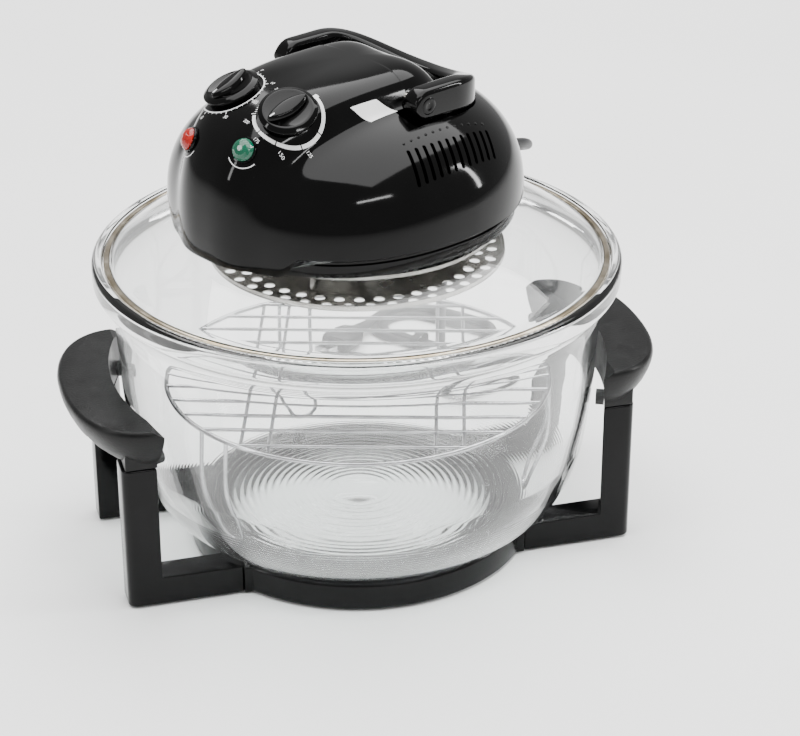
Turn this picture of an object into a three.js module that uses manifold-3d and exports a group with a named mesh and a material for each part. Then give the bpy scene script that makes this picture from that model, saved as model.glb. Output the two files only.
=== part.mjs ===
// Table-top halogen bowl oven: a glass bowl in a black stand, a wire rack, and a glass lid that
// carries the heater and fan head. Millimetres, +Z up, origin on the table under the stand's centre.
// +X runs towards one side handle, and the head's front is turned by HEAD_YAW from +X.
import * as THREE from 'three';
import { mergeVertices } from 'three/addons/utils/BufferGeometryUtils.js';
import Module from 'manifold-3d';

const wasm = await Module();
wasm.setup();

// Driving dimensions
const GAP = 0.3; // clearance between pieces that touch
const ROUND = 32; // facets round the stand, bowl and lid

const FOOT_H = 1.5;
const RING_OUTER = 110.5;
const RING_INNER = 84;
const RING_TOP = 20;
const BAR_H = 19;
const BAR_ROOT = 92; // the foot bars end inside the ring at this distance from the middle
const LEG_DEPTH = 20;
const LEG_Y = 66.5; // outer face of the legs
const LEG_OUTER = 165;
const LEG_TOP = 97.5;
const STAND_BORE = 158; // the legs and handles clear the bowl on this radius
const HANDLE_REACH = 190.5;
const HANDLE_HALF = 75;
const HANDLE_TOP = 127;
const BUMPER_R = 5;
const BUMPER_Z = 103.5;

const LIP_R = 165;
const LIP_TOP = 198;
const BOWL_WALL = 5;
const BAND_OUTER = 157.5;
const BAND_INNER = 153.7;
const BAND_H = 5.1;
const LID_HOLE = 84;
const LID_CROWN = 226;

const RACK_R = 121.5;
const RACK_Z = 112;
const RACK_TURN = THREE.MathUtils.degToRad(-17);
const RACK_PITCH = 20;
const RACK_CROSS = [-67, -50, 50, 67];
const RACK_LEGS = [-151, -18, 96];
const WIRE_R = 1.5;

const GUARD_R = 92;
const GUARD_Z = 196;
const SHIELD_Z = 213;
const LAMP_R = 58;
const LAMP_Z = 204.5;
const TUBE_R = 4.5;
const SHAFT_R = 3;

const HEAD_YAW = THREE.MathUtils.degToRad(206.6);
const HEAD_FLOOR = LID_CROWN + GAP;
const HEAD_WAIST = 240; // level where the head is widest
const HEAD_SEAM = 239.4; // level of the seam between shell and base tray
const HEAD_FRONT = 113.5;
const HEAD_SIDE = 104;
const HEAD_REAR = 102;
const BODY_H = 70; // height of the lower dome above the waist
const CAP_H = 84.5; // height of the raised cap above the waist
const CAP_FRONT = 119.5;
const CAP_SIDE = 50.8;
const CAP_REAR = 48;
const SHELL = 3;
const TRAY_INSET = 4.8;

const VENTS = 12;
const VENT_W = 2.4;
const VENT_TOP = [[28, 75.4, 291.4], [-35.5, 75.1, 287]]; // first and last slot on a side
const VENT_FOOT = [[33.1, 92.2, 275.5], [-29.6, 89.9, 275.2]];
const KNOBS = { timer: [78.4, -20.8], temperature: [76.9, 28.5] };
const KNOB_R = 17.5;
const KNOB_FACE = 3.8;
const KNOB_GRIP = 6.8;
const LENSES = { power: [107, -25], heat: [104.5, 21.4] };

const PIVOT_Z = 309.5; // the bail handle turns on this level, over the head's middle
const PIN_R = 3;
const BAIL_L = 58.6; // from the middle of the head to the middle of an arm
const BAIL_W = 12.8;
const BAIL_HALF = 10;
const BAIL_STRAIGHT = 22;
const BAIL_BOW = 34;
const CHANNEL = 1.5; // room round the folded bail handle
const WELL_R = 14.5;
const PLUNGER = { x: -18, y: 58.6, r: 2 };

const CORD_R = 3.5;
const OUTLET_Z = 232.8;
const RELIEF_X = 97.8; // the strain relief starts this far behind the head's middle
const RELIEF_L = 27;

const oven = new THREE.Group();
const head = new THREE.Group();
head.rotation.z = HEAD_YAW;
oven.add(head);

const finish = {
  black: { color: 0x0b0b0c, roughness: 0.18, metalness: 0 },
  satin: { color: 0x232325, roughness: 0.5, metalness: 0 },
  rubber: { color: 0x121212, roughness: 0.85, metalness: 0 },
  glass: { color: 0xdfe9e8, roughness: 0.03, metalness: 0, transparent: true, opacity: 0.3 },
  chrome: { color: 0xcfd0d2, roughness: 0.12, metalness: 1 },
  steel: { color: 0xa9a8a3, roughness: 0.3, metalness: 1 },
  ceramic: { color: 0xd9d4c8, roughness: 0.6, metalness: 0 },
  red: { color: 0xb3261a, roughness: 0.15, metalness: 0 },
  green: { color: 0x0d6b4a, roughness: 0.15, metalness: 0 },
};

// Adds a named piece with its own material to a group
function piece(name, geometry, look, group = oven) {
  const mesh = new THREE.Mesh(geometry, new THREE.MeshStandardMaterial(finish[look]));
  mesh.name = name;
  group.add(mesh);
  return mesh;
}

function solid(geometry) {
  const bare = geometry.clone();
  bare.deleteAttribute('normal');
  bare.deleteAttribute('uv');
  const welded = mergeVertices(bare, 1e-4);
  const mesh = new wasm.Mesh({
    numProp: 3,
    vertProperties: new Float32Array(welded.attributes.position.array),
    triVerts: new Uint32Array(welded.index.array),
  });
  return new wasm.Manifold(mesh);
}

function surface(manifold) {
  const mesh = manifold.getMesh();
  const geometry = new THREE.BufferGeometry();
  geometry.setAttribute('position', new THREE.BufferAttribute(mesh.vertProperties, 3));
  geometry.setIndex(new THREE.BufferAttribute(mesh.triVerts, 1));
  return geometry;
}

const whole = (item) => (item.isBufferGeometry ? solid(item) : item);
const added = (first, ...rest) => rest.reduce((sum, item) => sum.add(whole(item)), whole(first));
const taken = (first, ...rest) => rest.reduce((sum, item) => sum.subtract(whole(item)), whole(first));
const join = (...items) => surface(added(...items));
const cut = (...items) => surface(taken(...items));

// Solid of revolution about Z from [radius, height] pairs; the profile starts and ends on the
// axis or closes on itself
function turned(profile, segments = ROUND) {
  const points = profile.map(([r, z]) => new THREE.Vector2(r, z));
  return new THREE.LatheGeometry(points, segments).rotateX(Math.PI / 2);
}

// A ring profile repeats its first point to close
const ringOf = (profile, segments) => turned([...profile, profile[0]], segments);

// Points of an arc in the profile plane, angles in degrees
function arc(r, z, radius, from, to, steps) {
  return Array.from({ length: steps + 1 }, (_, i) => {
    const a = THREE.MathUtils.degToRad(from + ((to - from) * i) / steps);
    return [r + radius * Math.cos(a), z + radius * Math.sin(a)];
  });
}

function drum(radius, low, high, segments = 24) {
  return turned([[0, low], [radius, low], [radius, high], [0, high]], segments);
}

function block(x0, x1, y0, y1, z0, z1) {
  return new THREE.BoxGeometry(x1 - x0, y1 - y0, z1 - z0)
    .translate((x0 + x1) / 2, (y0 + y1) / 2, (z0 + z1) / 2);
}

// Round bar along a curve
function wire(curve, radius, steps, sides = 6) {
  const section = new THREE.Shape();
  section.absarc(0, 0, radius, 0, Math.PI * 2);
  return new THREE.ExtrudeGeometry(section, { steps, curveSegments: sides / 2, extrudePath: curve });
}

function straight(a, b) {
  return new THREE.LineCurve3(new THREE.Vector3(...a), new THREE.Vector3(...b));
}

function smooth(points, closed = false) {
  return new THREE.CatmullRomCurve3(points.map((p) => new THREE.Vector3(...p)), closed, 'centripetal');
}

// Closed solid through a stack of outlines with equal point counts, lowest first
function loft(sections) {
  const count = sections[0].length;
  const position = sections.flat(2);
  const index = [];
  for (let s = 0; s + 1 < sections.length; s += 1) {
    for (let i = 0; i < count; i += 1) {
      const a = s * count + i;
      const b = s * count + ((i + 1) % count);
      index.push(a, b, b + count, a, b + count, a + count);
    }
  }
  const middle = (section) => [0, 1, 2].map((k) => section.reduce((sum, p) => sum + p[k], 0) / count);
  const low = position.length / 3;
  position.push(...middle(sections[0]), ...middle(sections.at(-1)));
  const top = (sections.length - 1) * count;
  for (let i = 0; i < count; i += 1) {
    index.push(low, (i + 1) % count, i, low + 1, top + i, top + ((i + 1) % count));
  }
  const geometry = new THREE.BufferGeometry();
  geometry.setAttribute('position', new THREE.Float32BufferAttribute(position, 3));
  geometry.setIndex(index);
  return geometry;
}

const power = (v, n) => Math.abs(v) ** n;

// ---- Stand ----------------------------------------------------------------

function baseRing() {
  const ring = ringOf([
    [RING_INNER, FOOT_H], [RING_OUTER, FOOT_H],
    ...arc(RING_OUTER - 3, RING_TOP - 3, 3, 0, 90, 2),
    [RING_INNER, RING_TOP],
  ]);
  const socketL = 14;
  const sockets = [];
  for (const sx of [-1, 1]) {
    for (const sy of [-1, 1]) {
      const x0 = sx > 0 ? 78 : -78 - socketL;
      const y0 = sy > 0 ? LEG_Y - LEG_DEPTH - 1.5 : -LEG_Y - 1.5;
      sockets.push(block(x0, x0 + socketL, y0, y0 + LEG_DEPTH + 3, FOOT_H, RING_TOP - 0.5));
    }
  }
  const bars = [-1, 1].flatMap((sx) => [-1, 1].map((sy) => barCutter(sx, sy)));
  piece('base_ring', cut(added(ring, ...sockets), ...bars), 'black');
}

// Clearance for a foot bar where it enters the ring
function barCutter(sx, sy) {
  const x = [sx * (BAR_ROOT - GAP), sx * (LEG_OUTER - 10)].sort((a, b) => a - b);
  const y = [sy * (LEG_Y - LEG_DEPTH - GAP), sy * (LEG_Y + GAP)].sort((a, b) => a - b);
  return block(...x, ...y, 0, BAR_H + FOOT_H + GAP);
}

// Foot bar with an upright leg; the inner edge of the leg follows the bowl's clearance circle
function legBracket(name, sx, sy) {
  const front = LEG_Y;
  const rear = LEG_Y - LEG_DEPTH;
  const innerAt = (y) => Math.sqrt(STAND_BORE ** 2 - y ** 2);
  const corner = 6;
  const plan = new THREE.Shape();
  plan.moveTo(innerAt(front) - 1, front);
  plan.lineTo(LEG_OUTER - corner, front);
  plan.absarc(LEG_OUTER - corner, front - corner, corner, Math.PI / 2, 0, true);
  plan.lineTo(LEG_OUTER - 1, rear);
  plan.lineTo(innerAt(rear), rear);
  plan.closePath();
  const leg = new THREE.ExtrudeGeometry(plan, {
    depth: LEG_TOP - FOOT_H, bevelEnabled: false, curveSegments: 3,
  }).translate(0, 0, FOOT_H);
  const bar = block(BAR_ROOT, LEG_OUTER - 10, rear, front, FOOT_H, BAR_H + FOOT_H);
  piece(name, join(leg, bar), 'black').scale.set(sx, sy, 1);
}

// Broad grip over a pair of legs: a D-shaped flange whose underside curves in to the legs
function sideHandle(name, sx) {
  const root = 146;
  const roundness = 2.25;
  const facets = 32;
  const outline = (reach, half, z) => Array.from({ length: facets }, (_, i) => {
    const a = (i / facets) * Math.PI * 2;
    const c = Math.cos(a);
    const s = Math.sin(a);
    const r = (power(c, roundness) + power(s, roundness)) ** (-1 / roundness);
    return [root + r * c * (reach - root), r * s * half, z];
  });
  const low = LEG_TOP + GAP;
  const grip = loft([
    outline(170, HANDLE_HALF - 12, low),
    outline(182.5, HANDLE_HALF - 5, low + 9),
    outline(188, HANDLE_HALF - 1.5, low + 18),
    outline(HANDLE_REACH, HANDLE_HALF, HANDLE_TOP - 3),
    outline(HANDLE_REACH - 2, HANDLE_HALF - 1.5, HANDLE_TOP),
  ]);
  const shoulders = [-1, 1].map((sy) => {
    const y0 = sy > 0 ? LEG_Y - LEG_DEPTH : -LEG_Y;
    return block(136, LEG_OUTER - 2, y0, y0 + LEG_DEPTH, low, HANDLE_TOP - 0.4);
  });
  const bore = drum(STAND_BORE, low - 5, HANDLE_TOP + 5, 64);
  const slope = new THREE.BoxGeometry(24, 200, 20).rotateY(-0.56).translate(138.5, 0, 133.4);
  const hollow = block(163, 181, -44, 44, low - 4, HANDLE_TOP - 5);
  const shell = cut(added(grip, ...shoulders), bore, slope, hollow);
  piece(name, shell, 'satin').scale.set(sx, 1, 1);
}

function standSmallParts() {
  const inner = 152.2; // ends of a bumper, measured from the stand's middle
  const outer = STAND_BORE - 0.6;
  const bearing = Math.atan2(60, 140);
  for (const [i, [sx, sy]] of [[-1, -1], [1, -1], [1, 1], [-1, 1]].entries()) {
    const at = (r) => [sx * r * Math.cos(bearing), sy * r * Math.sin(bearing), BUMPER_Z];
    const bumper = wire(straight(at(outer), at(inner)), BUMPER_R, 1, 12);
    piece(`bowl_bumper_${i + 1}`, bumper, 'rubber');
    const foot = drum(9, 0, FOOT_H - GAP, 16);
    piece(`rubber_foot_${i + 1}`, foot, 'rubber').position.set(sx * 68, sy * 68, 0);
  }
}

// ---- Bowl and rack ---------------------------------------------------------

const BOWL_FLOOR = RING_TOP + GAP;

const curvePoints = (steps, ...corners) => new THREE.CubicBezierCurve(
  ...corners.map(([r, z]) => new THREE.Vector2(r, z))).getPoints(steps).map((p) => [p.x, p.y]);

function bowl() {
  const low = BOWL_FLOOR;
  const wallR = 145.5; // outside radius where the floor's corner ends
  const corner = curvePoints(5, [97, low + 1.5], [124, low + 2], [139, low + 22], [wallR, low + 55]);
  const inner = curvePoints(5, [wallR - BOWL_WALL, low + 56], [134.5, low + 27], [121, low + 8], [95, low + 6.5]);
  const rebate = BAND_OUTER + GAP + 0.5;
  const seat = LIP_TOP - BAND_H - GAP;
  piece('glass_bowl', turned([
    [0, low], [94, low], ...corner,
    [149.5, low + 85], [152, 145], [153.6, 170], [161, 181],
    ...arc(LIP_R - 3, 187, 3, -60, 0, 1), ...arc(LIP_R - 3, LIP_TOP - 3, 3, 0, 90, 2),
    [rebate, LIP_TOP - 0.2], [rebate, seat], [150.5, seat], [147.3, 150], [144.8, low + 85],
    ...inner, [16, low + 6.2], [14, low + 7.4], [0, low + 7.4],
  ]), 'glass');
}

// Welded wire rack: rim, parallel bars, cross wires and three U-shaped legs
function rack() {
  const rim = new THREE.TorusGeometry(RACK_R, WIRE_R, 5, 32).translate(0, 0, RACK_Z);
  const barR = 1.2;
  const chord = (at) => Math.sqrt((RACK_R - 0.6) ** 2 - at ** 2);
  const web = [];
  for (let i = -5; i <= 5; i += 1) {
    const y = i * RACK_PITCH;
    web.push(wire(straight([-chord(y), y, RACK_Z + 0.6], [chord(y), y, RACK_Z + 0.6]), barR, 1, 4));
  }
  for (const x of RACK_CROSS) {
    web.push(wire(straight([x, -chord(x), RACK_Z - 1.2], [x, chord(x), RACK_Z - 1.2]), barR, 1, 4));
  }
  const footR = 108.5;
  const footZ = BOWL_FLOOR + 11.4;
  const half = 11;
  const legs = RACK_LEGS.map((bearing) => {
    const t = THREE.MathUtils.degToRad(bearing);
    const place = (r, side, z) => [
      r * Math.cos(t) - side * Math.sin(t), r * Math.sin(t) + side * Math.cos(t), z];
    const path = smooth([
      place(RACK_R - 0.8, -half, RACK_Z), place(RACK_R, -half, RACK_Z - 36), place(footR + 3, -half, footZ + 12),
      place(footR, -half + 5, footZ), place(footR, half - 5, footZ), place(footR + 3, half, footZ + 12),
      place(RACK_R, half, RACK_Z - 36), place(RACK_R - 0.8, half, RACK_Z),
    ]);
    return wire(path, 1.3, 11);
  });
  piece('wire_rack', join(rim, ...web.map((g) => g.rotateZ(RACK_TURN)), ...legs), 'chrome');
}

// ---- Lid -------------------------------------------------------------------

function lid() {
  const low = LIP_TOP - BAND_H;
  const rim = BAND_INNER - GAP;
  const rise = LID_CROWN - low - 5;
  const crown = (r) => low + 5 + rise * (1 - power(Math.max(0, r - LID_HOLE) / (rim - LID_HOLE), 1.75));
  const radii = [rim - 1, 142, 128, 112, 97, LID_HOLE];
  const top = radii.map((r) => [r, crown(r)]);
  const under = radii.map((r) => [r - (r > 100 ? 1.2 : 0), crown(r) - 4]).reverse();
  piece('lid_glass', ringOf([[rim, low + 0.4], [rim, crown(rim - 1) - 1], ...top, ...under]), 'glass');
  piece('lid_band', ringOf([
    [BAND_INNER, low + 0.2], [BAND_INNER + 0.8, low], [BAND_OUTER, low],
    [BAND_OUTER, LIP_TOP - 1.2], [BAND_OUTER - 1.2, LIP_TOP], [BAND_INNER, LIP_TOP],
  ]), 'steel');
}

// ---- Heater below the lid ----------------------------------------------------

function circle(radius, count, x = 0, y = 0) {
  return Array.from({ length: count }, (_, i) => {
    const a = (i / count) * Math.PI * 2;
    return new THREE.Vector2(x + radius * Math.cos(a), y + radius * Math.sin(a));
  });
}

// Perforated tray under the lamp, with an upturned rim and an air inlet below the fan
function guard() {
  const perRow = 14;
  const sheet = new THREE.Shape(circle(GUARD_R - 1.5, 40));
  for (const [radius, offset] of [[83, 0], [72, 0.5]]) {
    for (let i = 0; i < perRow; i += 1) {
      const a = ((i + offset) / perRow) * Math.PI * 2;
      sheet.holes.push(new THREE.Path(circle(6.4, 6, radius * Math.cos(a), radius * Math.sin(a))));
    }
  }
  sheet.holes.push(new THREE.Path(circle(24, 20)));
  const plate = new THREE.ExtrudeGeometry(sheet, { depth: 1, bevelEnabled: false })
    .translate(0, 0, GUARD_Z);
  const rim = ringOf([
    [GUARD_R - 2.5, GUARD_Z - 0.2], [GUARD_R, GUARD_Z + 0.8], [GUARD_R, GUARD_Z + 4],
    [GUARD_R - 1.2, GUARD_Z + 4], [GUARD_R - 2.5, GUARD_Z + 1.2],
  ], 40);
  piece('element_guard', join(plate, rim), 'steel', head);
}

function heater() {
  piece('heat_shield', ringOf([
    [9, SHIELD_Z], [86, SHIELD_Z], [87.5, SHIELD_Z + 1.5], [87.5, SHIELD_Z + 3.4],
    [86.3, SHIELD_Z + 3.4], [85, SHIELD_Z + 1.2], [9, SHIELD_Z + 1.2],
  ], 30), 'steel', head);
  for (const [i, bearing] of [-95, 25, 145].entries()) {
    const t = THREE.MathUtils.degToRad(bearing);
    const post = drum(2.2, GUARD_Z + 1 + GAP, SHIELD_Z - GAP, 8);
    piece(`guard_post_${i + 1}`, post, 'steel', head).position.set(66 * Math.cos(t), 66 * Math.sin(t), 0);
  }
  const half = Math.PI - 0.175;
  const ring = smooth(Array.from({ length: 17 }, (_, i) => {
    const a = -half + (i / 16) * 2 * half;
    return [LAMP_R * Math.cos(a), LAMP_R * Math.sin(a), LAMP_Z];
  }));
  piece('halogen_lamp', wire(ring, TUBE_R, 24, 8), 'glass', head);
  for (const side of [-1, 1]) {
    const holder = block(-LAMP_R - 7, -LAMP_R + 7, -3, 3, LAMP_Z - 6, SHIELD_Z - GAP);
    piece(side < 0 ? 'lamp_holder_left' : 'lamp_holder_right', holder, 'ceramic', head)
      .position.set(0, side * 4.9, 0);
  }
}

// Six flat blades on a hub, pitched about their own radii
function fanWheel(radius, low, high) {
  const blades = Array.from({ length: 6 }, (_, i) => {
    const blade = block(5, radius, -7, 7, -0.6, 0.6).rotateX(0.6);
    return blade.rotateZ((i / 6) * Math.PI * 2).translate(0, 0, (low + high) / 2);
  });
  return added(drum(8, low, high, 12), ...blades);
}

function driveTrain() {
  const shaftTop = 263;
  piece('motor_shaft', drum(SHAFT_R, 200, shaftTop, 10), 'steel', head);
  const bore = drum(SHAFT_R + GAP, 180, 300, 10);
  piece('convection_fan', cut(fanWheel(44, 200, 208), bore), 'steel', head);
  piece('cooling_fan', cut(fanWheel(40, 238, 247), bore), 'steel', head);
  const can = drum(24, 254, 286, 20);
  const bosses = drum(9, 251, 289, 12);
  const strap = block(-33, 33, -5, 5, 256, 259);
  piece('motor', cut(added(can, bosses, strap), drum(SHAFT_R + GAP, 240, shaftTop + 1, 10)), 'steel', head);
}

// ---- Head housing --------------------------------------------------------------

// Distance from the head's middle, at waist level, to the outer skin in a direction: the lower
// dome and the raised cap that runs forward into the control panel, met at a soft shoulder
function skin(direction) {
  const { x, y, z } = direction;
  const front = x > 0;
  const bodyN = front ? 2.4 : 2;
  const reach = front ? HEAD_FRONT : HEAD_REAR;
  const body = (power(x / reach, bodyN) + power(y / HEAD_SIDE, bodyN)) ** (1 / bodyN);
  const bodyR = (power(body, 2.5) + power(z / BODY_H, 2.5)) ** (-1 / 2.5);
  const along = power(x / (front ? CAP_FRONT : CAP_REAR), 3);
  const across = power(y / CAP_SIDE, 3);
  const cap = (along + across) ** (1 / 3);
  const share = across / (along + across + 1e-9);
  const capN = (front ? 3.1 : 2.8) + 1.7 * share;
  const capR = (power(cap, capN) + power(z / CAP_H, capN)) ** (-1 / capN);
  return (power(bodyR, 26) + power(capR, 26)) ** (1 / 26);
}

function skinPoint(turn, rise, inset = 0) {
  const d = new THREE.Vector3(
    Math.cos(rise) * Math.cos(turn), Math.cos(rise) * Math.sin(turn), Math.sin(rise));
  const r = skin(d) - inset;
  return [r * d.x, r * d.y, HEAD_WAIST + r * d.z];
}

// Closed solid inside the skin, moved in by inset, down to a level given for each turn angle
function headSolid(count, rows, inset, floorAt) {
  const turnAt = (i) => (i / count) * 2 * Math.PI;
  const outline = (rise) => Array.from({ length: count }, (_, i) => skinPoint(turnAt(i), rise, inset));
  const foot = outline(0).map(([x, y], i) => [x * 0.992, y * 0.992, floorAt(turnAt(i))]);
  const rises = Array.from({ length: rows }, (_, i) => ((i / rows) ** 1.05) * (Math.PI / 2));
  return loft([foot, ...rises.map(outline)]);
}

// The shell's lower edge drops from the seam to the full depth of the nose
function shellEdge(turn) {
  const drop = THREE.MathUtils.smoothstep(Math.cos(turn), 0.83, 0.91);
  return THREE.MathUtils.lerp(HEAD_SEAM, HEAD_FLOOR, drop);
}

// Placement on the skin over a plan position: +Z leaves the skin and +X leans towards the front
function onSkin([x, y]) {
  const at = (px, py) => {
    const turn = Math.atan2(py, px);
    let low = 0;
    let high = Math.PI / 2;
    for (let i = 0; i < 30; i += 1) {
      const rise = (low + high) / 2;
      const [sx, sy] = skinPoint(turn, rise);
      if (Math.hypot(sx, sy) > Math.hypot(px, py)) low = rise;
      else high = rise;
    }
    return new THREE.Vector3(...skinPoint(turn, low));
  };
  const step = 6;
  const ahead = at(x + step, y).sub(at(x - step, y));
  const aside = at(x, y + step).sub(at(x, y - step));
  const normal = ahead.cross(aside).normalize();
  const side = new THREE.Vector3().crossVectors(normal, new THREE.Vector3(1, 0, 0)).normalize();
  const forward = new THREE.Vector3().crossVectors(side, normal);
  return new THREE.Matrix4().makeBasis(forward, side, normal).setPosition(at(x, y));
}

function groupOnSkin(place) {
  const group = new THREE.Group();
  group.applyMatrix4(onSkin(place));
  head.add(group);
  return group;
}

// Cutters for the row of slanting air slots on each side of the lower dome
function ventCutters() {
  const cutters = [];
  for (const side of [-1, 1]) {
    for (let i = 0; i < VENTS; i += 1) {
      const [top, foot] = [VENT_TOP, VENT_FOOT].map(([first, last]) => new THREE.Vector3(...first)
        .lerp(new THREE.Vector3(...last), i / (VENTS - 1)).multiply(new THREE.Vector3(1, side, 1)));
      const along = foot.clone().sub(top);
      const length = along.length();
      along.normalize();
      const out = new THREE.Vector3(1, 0, 0).cross(along).normalize();
      const across = along.clone().cross(out);
      const frame = new THREE.Matrix4().makeBasis(across, along, out)
        .setPosition(top.add(foot).multiplyScalar(0.5));
      cutters.push(new THREE.BoxGeometry(VENT_W, length, 14).applyMatrix4(frame));
    }
  }
  return cutters;
}

const acrossHead = (side, x, from, to, z, radius, sides) => wire(
  straight([x, side * from, z], [x, side * to, z]), radius, 1, sides);

function housing() {
  const outer = headSolid(40, 9, 0, shellEdge);
  const inner = headSolid(28, 6, SHELL, () => HEAD_FLOOR - 10);
  const wells = (grow) => [-1, 1].map((side) => acrossHead(
    side, 0, 50.5 - grow, 66.5 + grow, PIVOT_Z, WELL_R + grow, 16));
  const hollow = taken(inner, bow(CHANNEL + SHELL, 4), ...wells(SHELL));
  const holes = [
    ...Object.values(KNOBS).map((place) => drum(4.5, -30, 30, 10).applyMatrix4(onSkin(place))),
    ...Object.values(LENSES).map((place) => drum(6.5, -20, 20, 10).applyMatrix4(onSkin(place))),
    ...[-1, 1].map((side) => acrossHead(side, 0, 40, 60, PIVOT_Z, PIN_R + GAP, 10)),
    drum(PLUNGER.r + GAP, 280, 305, 10).translate(PLUNGER.x, PLUNGER.y, 0),
  ];
  const shell = cut(outer, bow(CHANNEL, 4), ...wells(0), hollow, ...ventCutters(), ...holes);
  piece('head_shell', shell, 'black', head);
}

function headBase() {
  const wall = headSolid(40, 1, TRAY_INSET, () => HEAD_FLOOR);
  const above = block(-150, 150, -150, 150, HEAD_SEAM - 0.7, 400);
  const inside = headSolid(32, 1, TRAY_INSET + SHELL, () => HEAD_FLOOR + SHELL);
  const collarR = LID_HOLE - 0.6;
  const collar = ringOf([
    [collarR - 2.4, SHIELD_Z + 4.3], [collarR, SHIELD_Z + 4.3],
    [collarR, HEAD_FLOOR + 1], [collarR - 2.4, HEAD_FLOOR + 1],
  ]);
  const vent = drum(12, HEAD_FLOOR - 20, HEAD_FLOOR + 10, 16);
  piece('head_base', join(taken(wall, above, inside, vent), collar), 'black', head);
}

// A dial knob with a flared skirt and a raised grip bar, and the mechanism under the panel
function control(name, mechanism, [w, d, h]) {
  const seat = groupOnSkin(KNOBS[name]);
  const dial = turned([
    [0, 1], [KNOB_R, 1], [KNOB_R, 2.2], [KNOB_R - 1.6, 3.3], [KNOB_R - 3.6, KNOB_FACE], [0, KNOB_FACE],
  ], 28);
  const bar = (reach, half, z) => [[-reach, -half, z], [reach, -half, z], [reach, half, z], [-reach, half, z]];
  const grip = loft([bar(KNOB_R - 3, 4.2, KNOB_FACE - 1), bar(KNOB_R - 5, 3, KNOB_GRIP)]);
  const stem = drum(PIN_R, -13, 2, 10);
  piece(`${name}_knob`, join(dial, grip, stem), 'black', seat);
  const top = -9;
  const nose = PIN_R + 1.6;
  const box = block(nose - w, nose, -d / 2, d / 2, top - h, top);
  piece(mechanism, cut(box, drum(PIN_R + GAP, -13.5, 0, 10)), 'steel', seat);
}

// Domed lens held in the panel by a short stem
function lens(name, look) {
  const body = turned([
    [0, -6], [5.6, -6], [5.6, 0.6], [7, 0.6], [7, 1.6], [5.4, 4], [2.6, 5.4], [0, 5.8],
  ], 12);
  piece(`${name}_lens`, body, look, groupOnSkin(LENSES[name]));
}

// ---- Bail handle -----------------------------------------------------------------

// Plan line and height of the folded bail handle, from one rounded arm end round to the other
function bailStations(grow, steps) {
  const half = BAIL_HALF + grow;
  const ends = [0.94, 0.76, 0.46, 0].map((k) => {
    const h = half * Math.sqrt(1 - k * k);
    return { x: half * k, y: BAIL_L, low: -h, high: h };
  });
  const bend = Array.from({ length: 2 * steps + 1 }, (_, i) => {
    const c = Math.cos((i / steps) * (Math.PI / 2));
    const s = Math.sin((i / steps) * (Math.PI / 2));
    return {
      x: -BAIL_STRAIGHT - BAIL_BOW * power(s, 1 / 1.2),
      y: Math.sign(c) * BAIL_L * power(c, 1 / 1.2),
      low: -half - 7.5 * s * s,
      high: half - 13.5 * s * s,
    };
  });
  return [...ends, ...bend, ...ends.map((e) => ({ ...e, y: -e.y })).reverse()];
}

// Solid along the bail handle's line, grown on every face
function bow(grow, steps) {
  const line = bailStations(grow, steps);
  const half = BAIL_W / 2 + grow;
  const chamfer = 2.6;
  return loft(line.map(({ x, y, low, high }, i) => {
    const before = line[Math.max(0, i - 1)];
    const after = line[Math.min(line.length - 1, i + 1)];
    const run = Math.hypot(after.x - before.x, after.y - before.y);
    const nx = (before.y - after.y) / run;
    const ny = (after.x - before.x) / run;
    const c = Math.min(chamfer, (high - low) / 4);
    return [
      [-half, low + c], [-half + c, low], [half - c, low], [half, low + c],
      [half, high - c], [half - c, high], [-half + c, high], [-half, high - c],
    ].map(([n, z]) => [x + n * nx, y + n * ny, PIVOT_Z + z]);
  }));
}

function bailHandle() {
  const holeEnd = BAIL_L + BAIL_W / 2 - 3;
  const holes = [-1, 1].map((side) => acrossHead(side, 0, 44, holeEnd, PIVOT_Z, PIN_R + GAP, 12));
  piece('bail_handle', cut(bow(0, 7), ...holes), 'black', head);
  for (const side of [-1, 1]) {
    const pin = acrossHead(side, 0, 44, holeEnd - GAP, PIVOT_Z, PIN_R, 12);
    piece(side < 0 ? 'bail_pin_left' : 'bail_pin_right', pin, 'steel', head);
  }
}

// Interlock under one arm of the bail handle: the folded arm holds the plunger down in the switch
function interlock() {
  const { x, y, r } = PLUNGER;
  const top = PIVOT_Z - BAIL_HALF - GAP;
  piece('switch_plunger', drum(r, 277, top, 10).translate(x, y, 0), 'red', head);
  const pocket = drum(r + GAP, 276, 300, 10).translate(x, y, 0);
  piece('safety_switch', cut(block(x - 8, x + 8, y - 10, y + 10, 270, 289), pocket), 'ceramic', head);
}

// ---- Mains lead --------------------------------------------------------------------

const fromHead = (x, y, z) => new THREE.Vector3(x, y, z).applyAxisAngle(new THREE.Vector3(0, 0, 1), HEAD_YAW);

// Points that the lead follows from the strain relief down behind the bowl to the table
const ON_TABLE = CORD_R + 0.1;
const LEAD = [
  [130.5, 68, 228], [138.5, 81, 221.5], [140, 96, 215], [134.5, 111, 209], [125.5, 124, 202],
  [116, 133, 190], [109, 138.5, 175], [104.5, 142, 156], [102, 144, 134], [100.8, 145.5, 110],
  [100.5, 147, 86], [101, 149, 60], [102.5, 151.5, 34], [106.3, 153, 18.8], [116.6, 157, 7.7],
  [130.8, 162.4, ON_TABLE], [143, 167.2, ON_TABLE], [152.5, 170.9, ON_TABLE], [165.1, 179, ON_TABLE],
  [173.4, 192.2, ON_TABLE], [175.6, 204.5, ON_TABLE], [175.6, 221.2, ON_TABLE],
];
const HANK = { x: 131.5, y: 260, length: 112, width: 64, bundle: 14.6, height: 14 };
const HANK_TURN = Math.atan2(0.75, -0.66);

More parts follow.
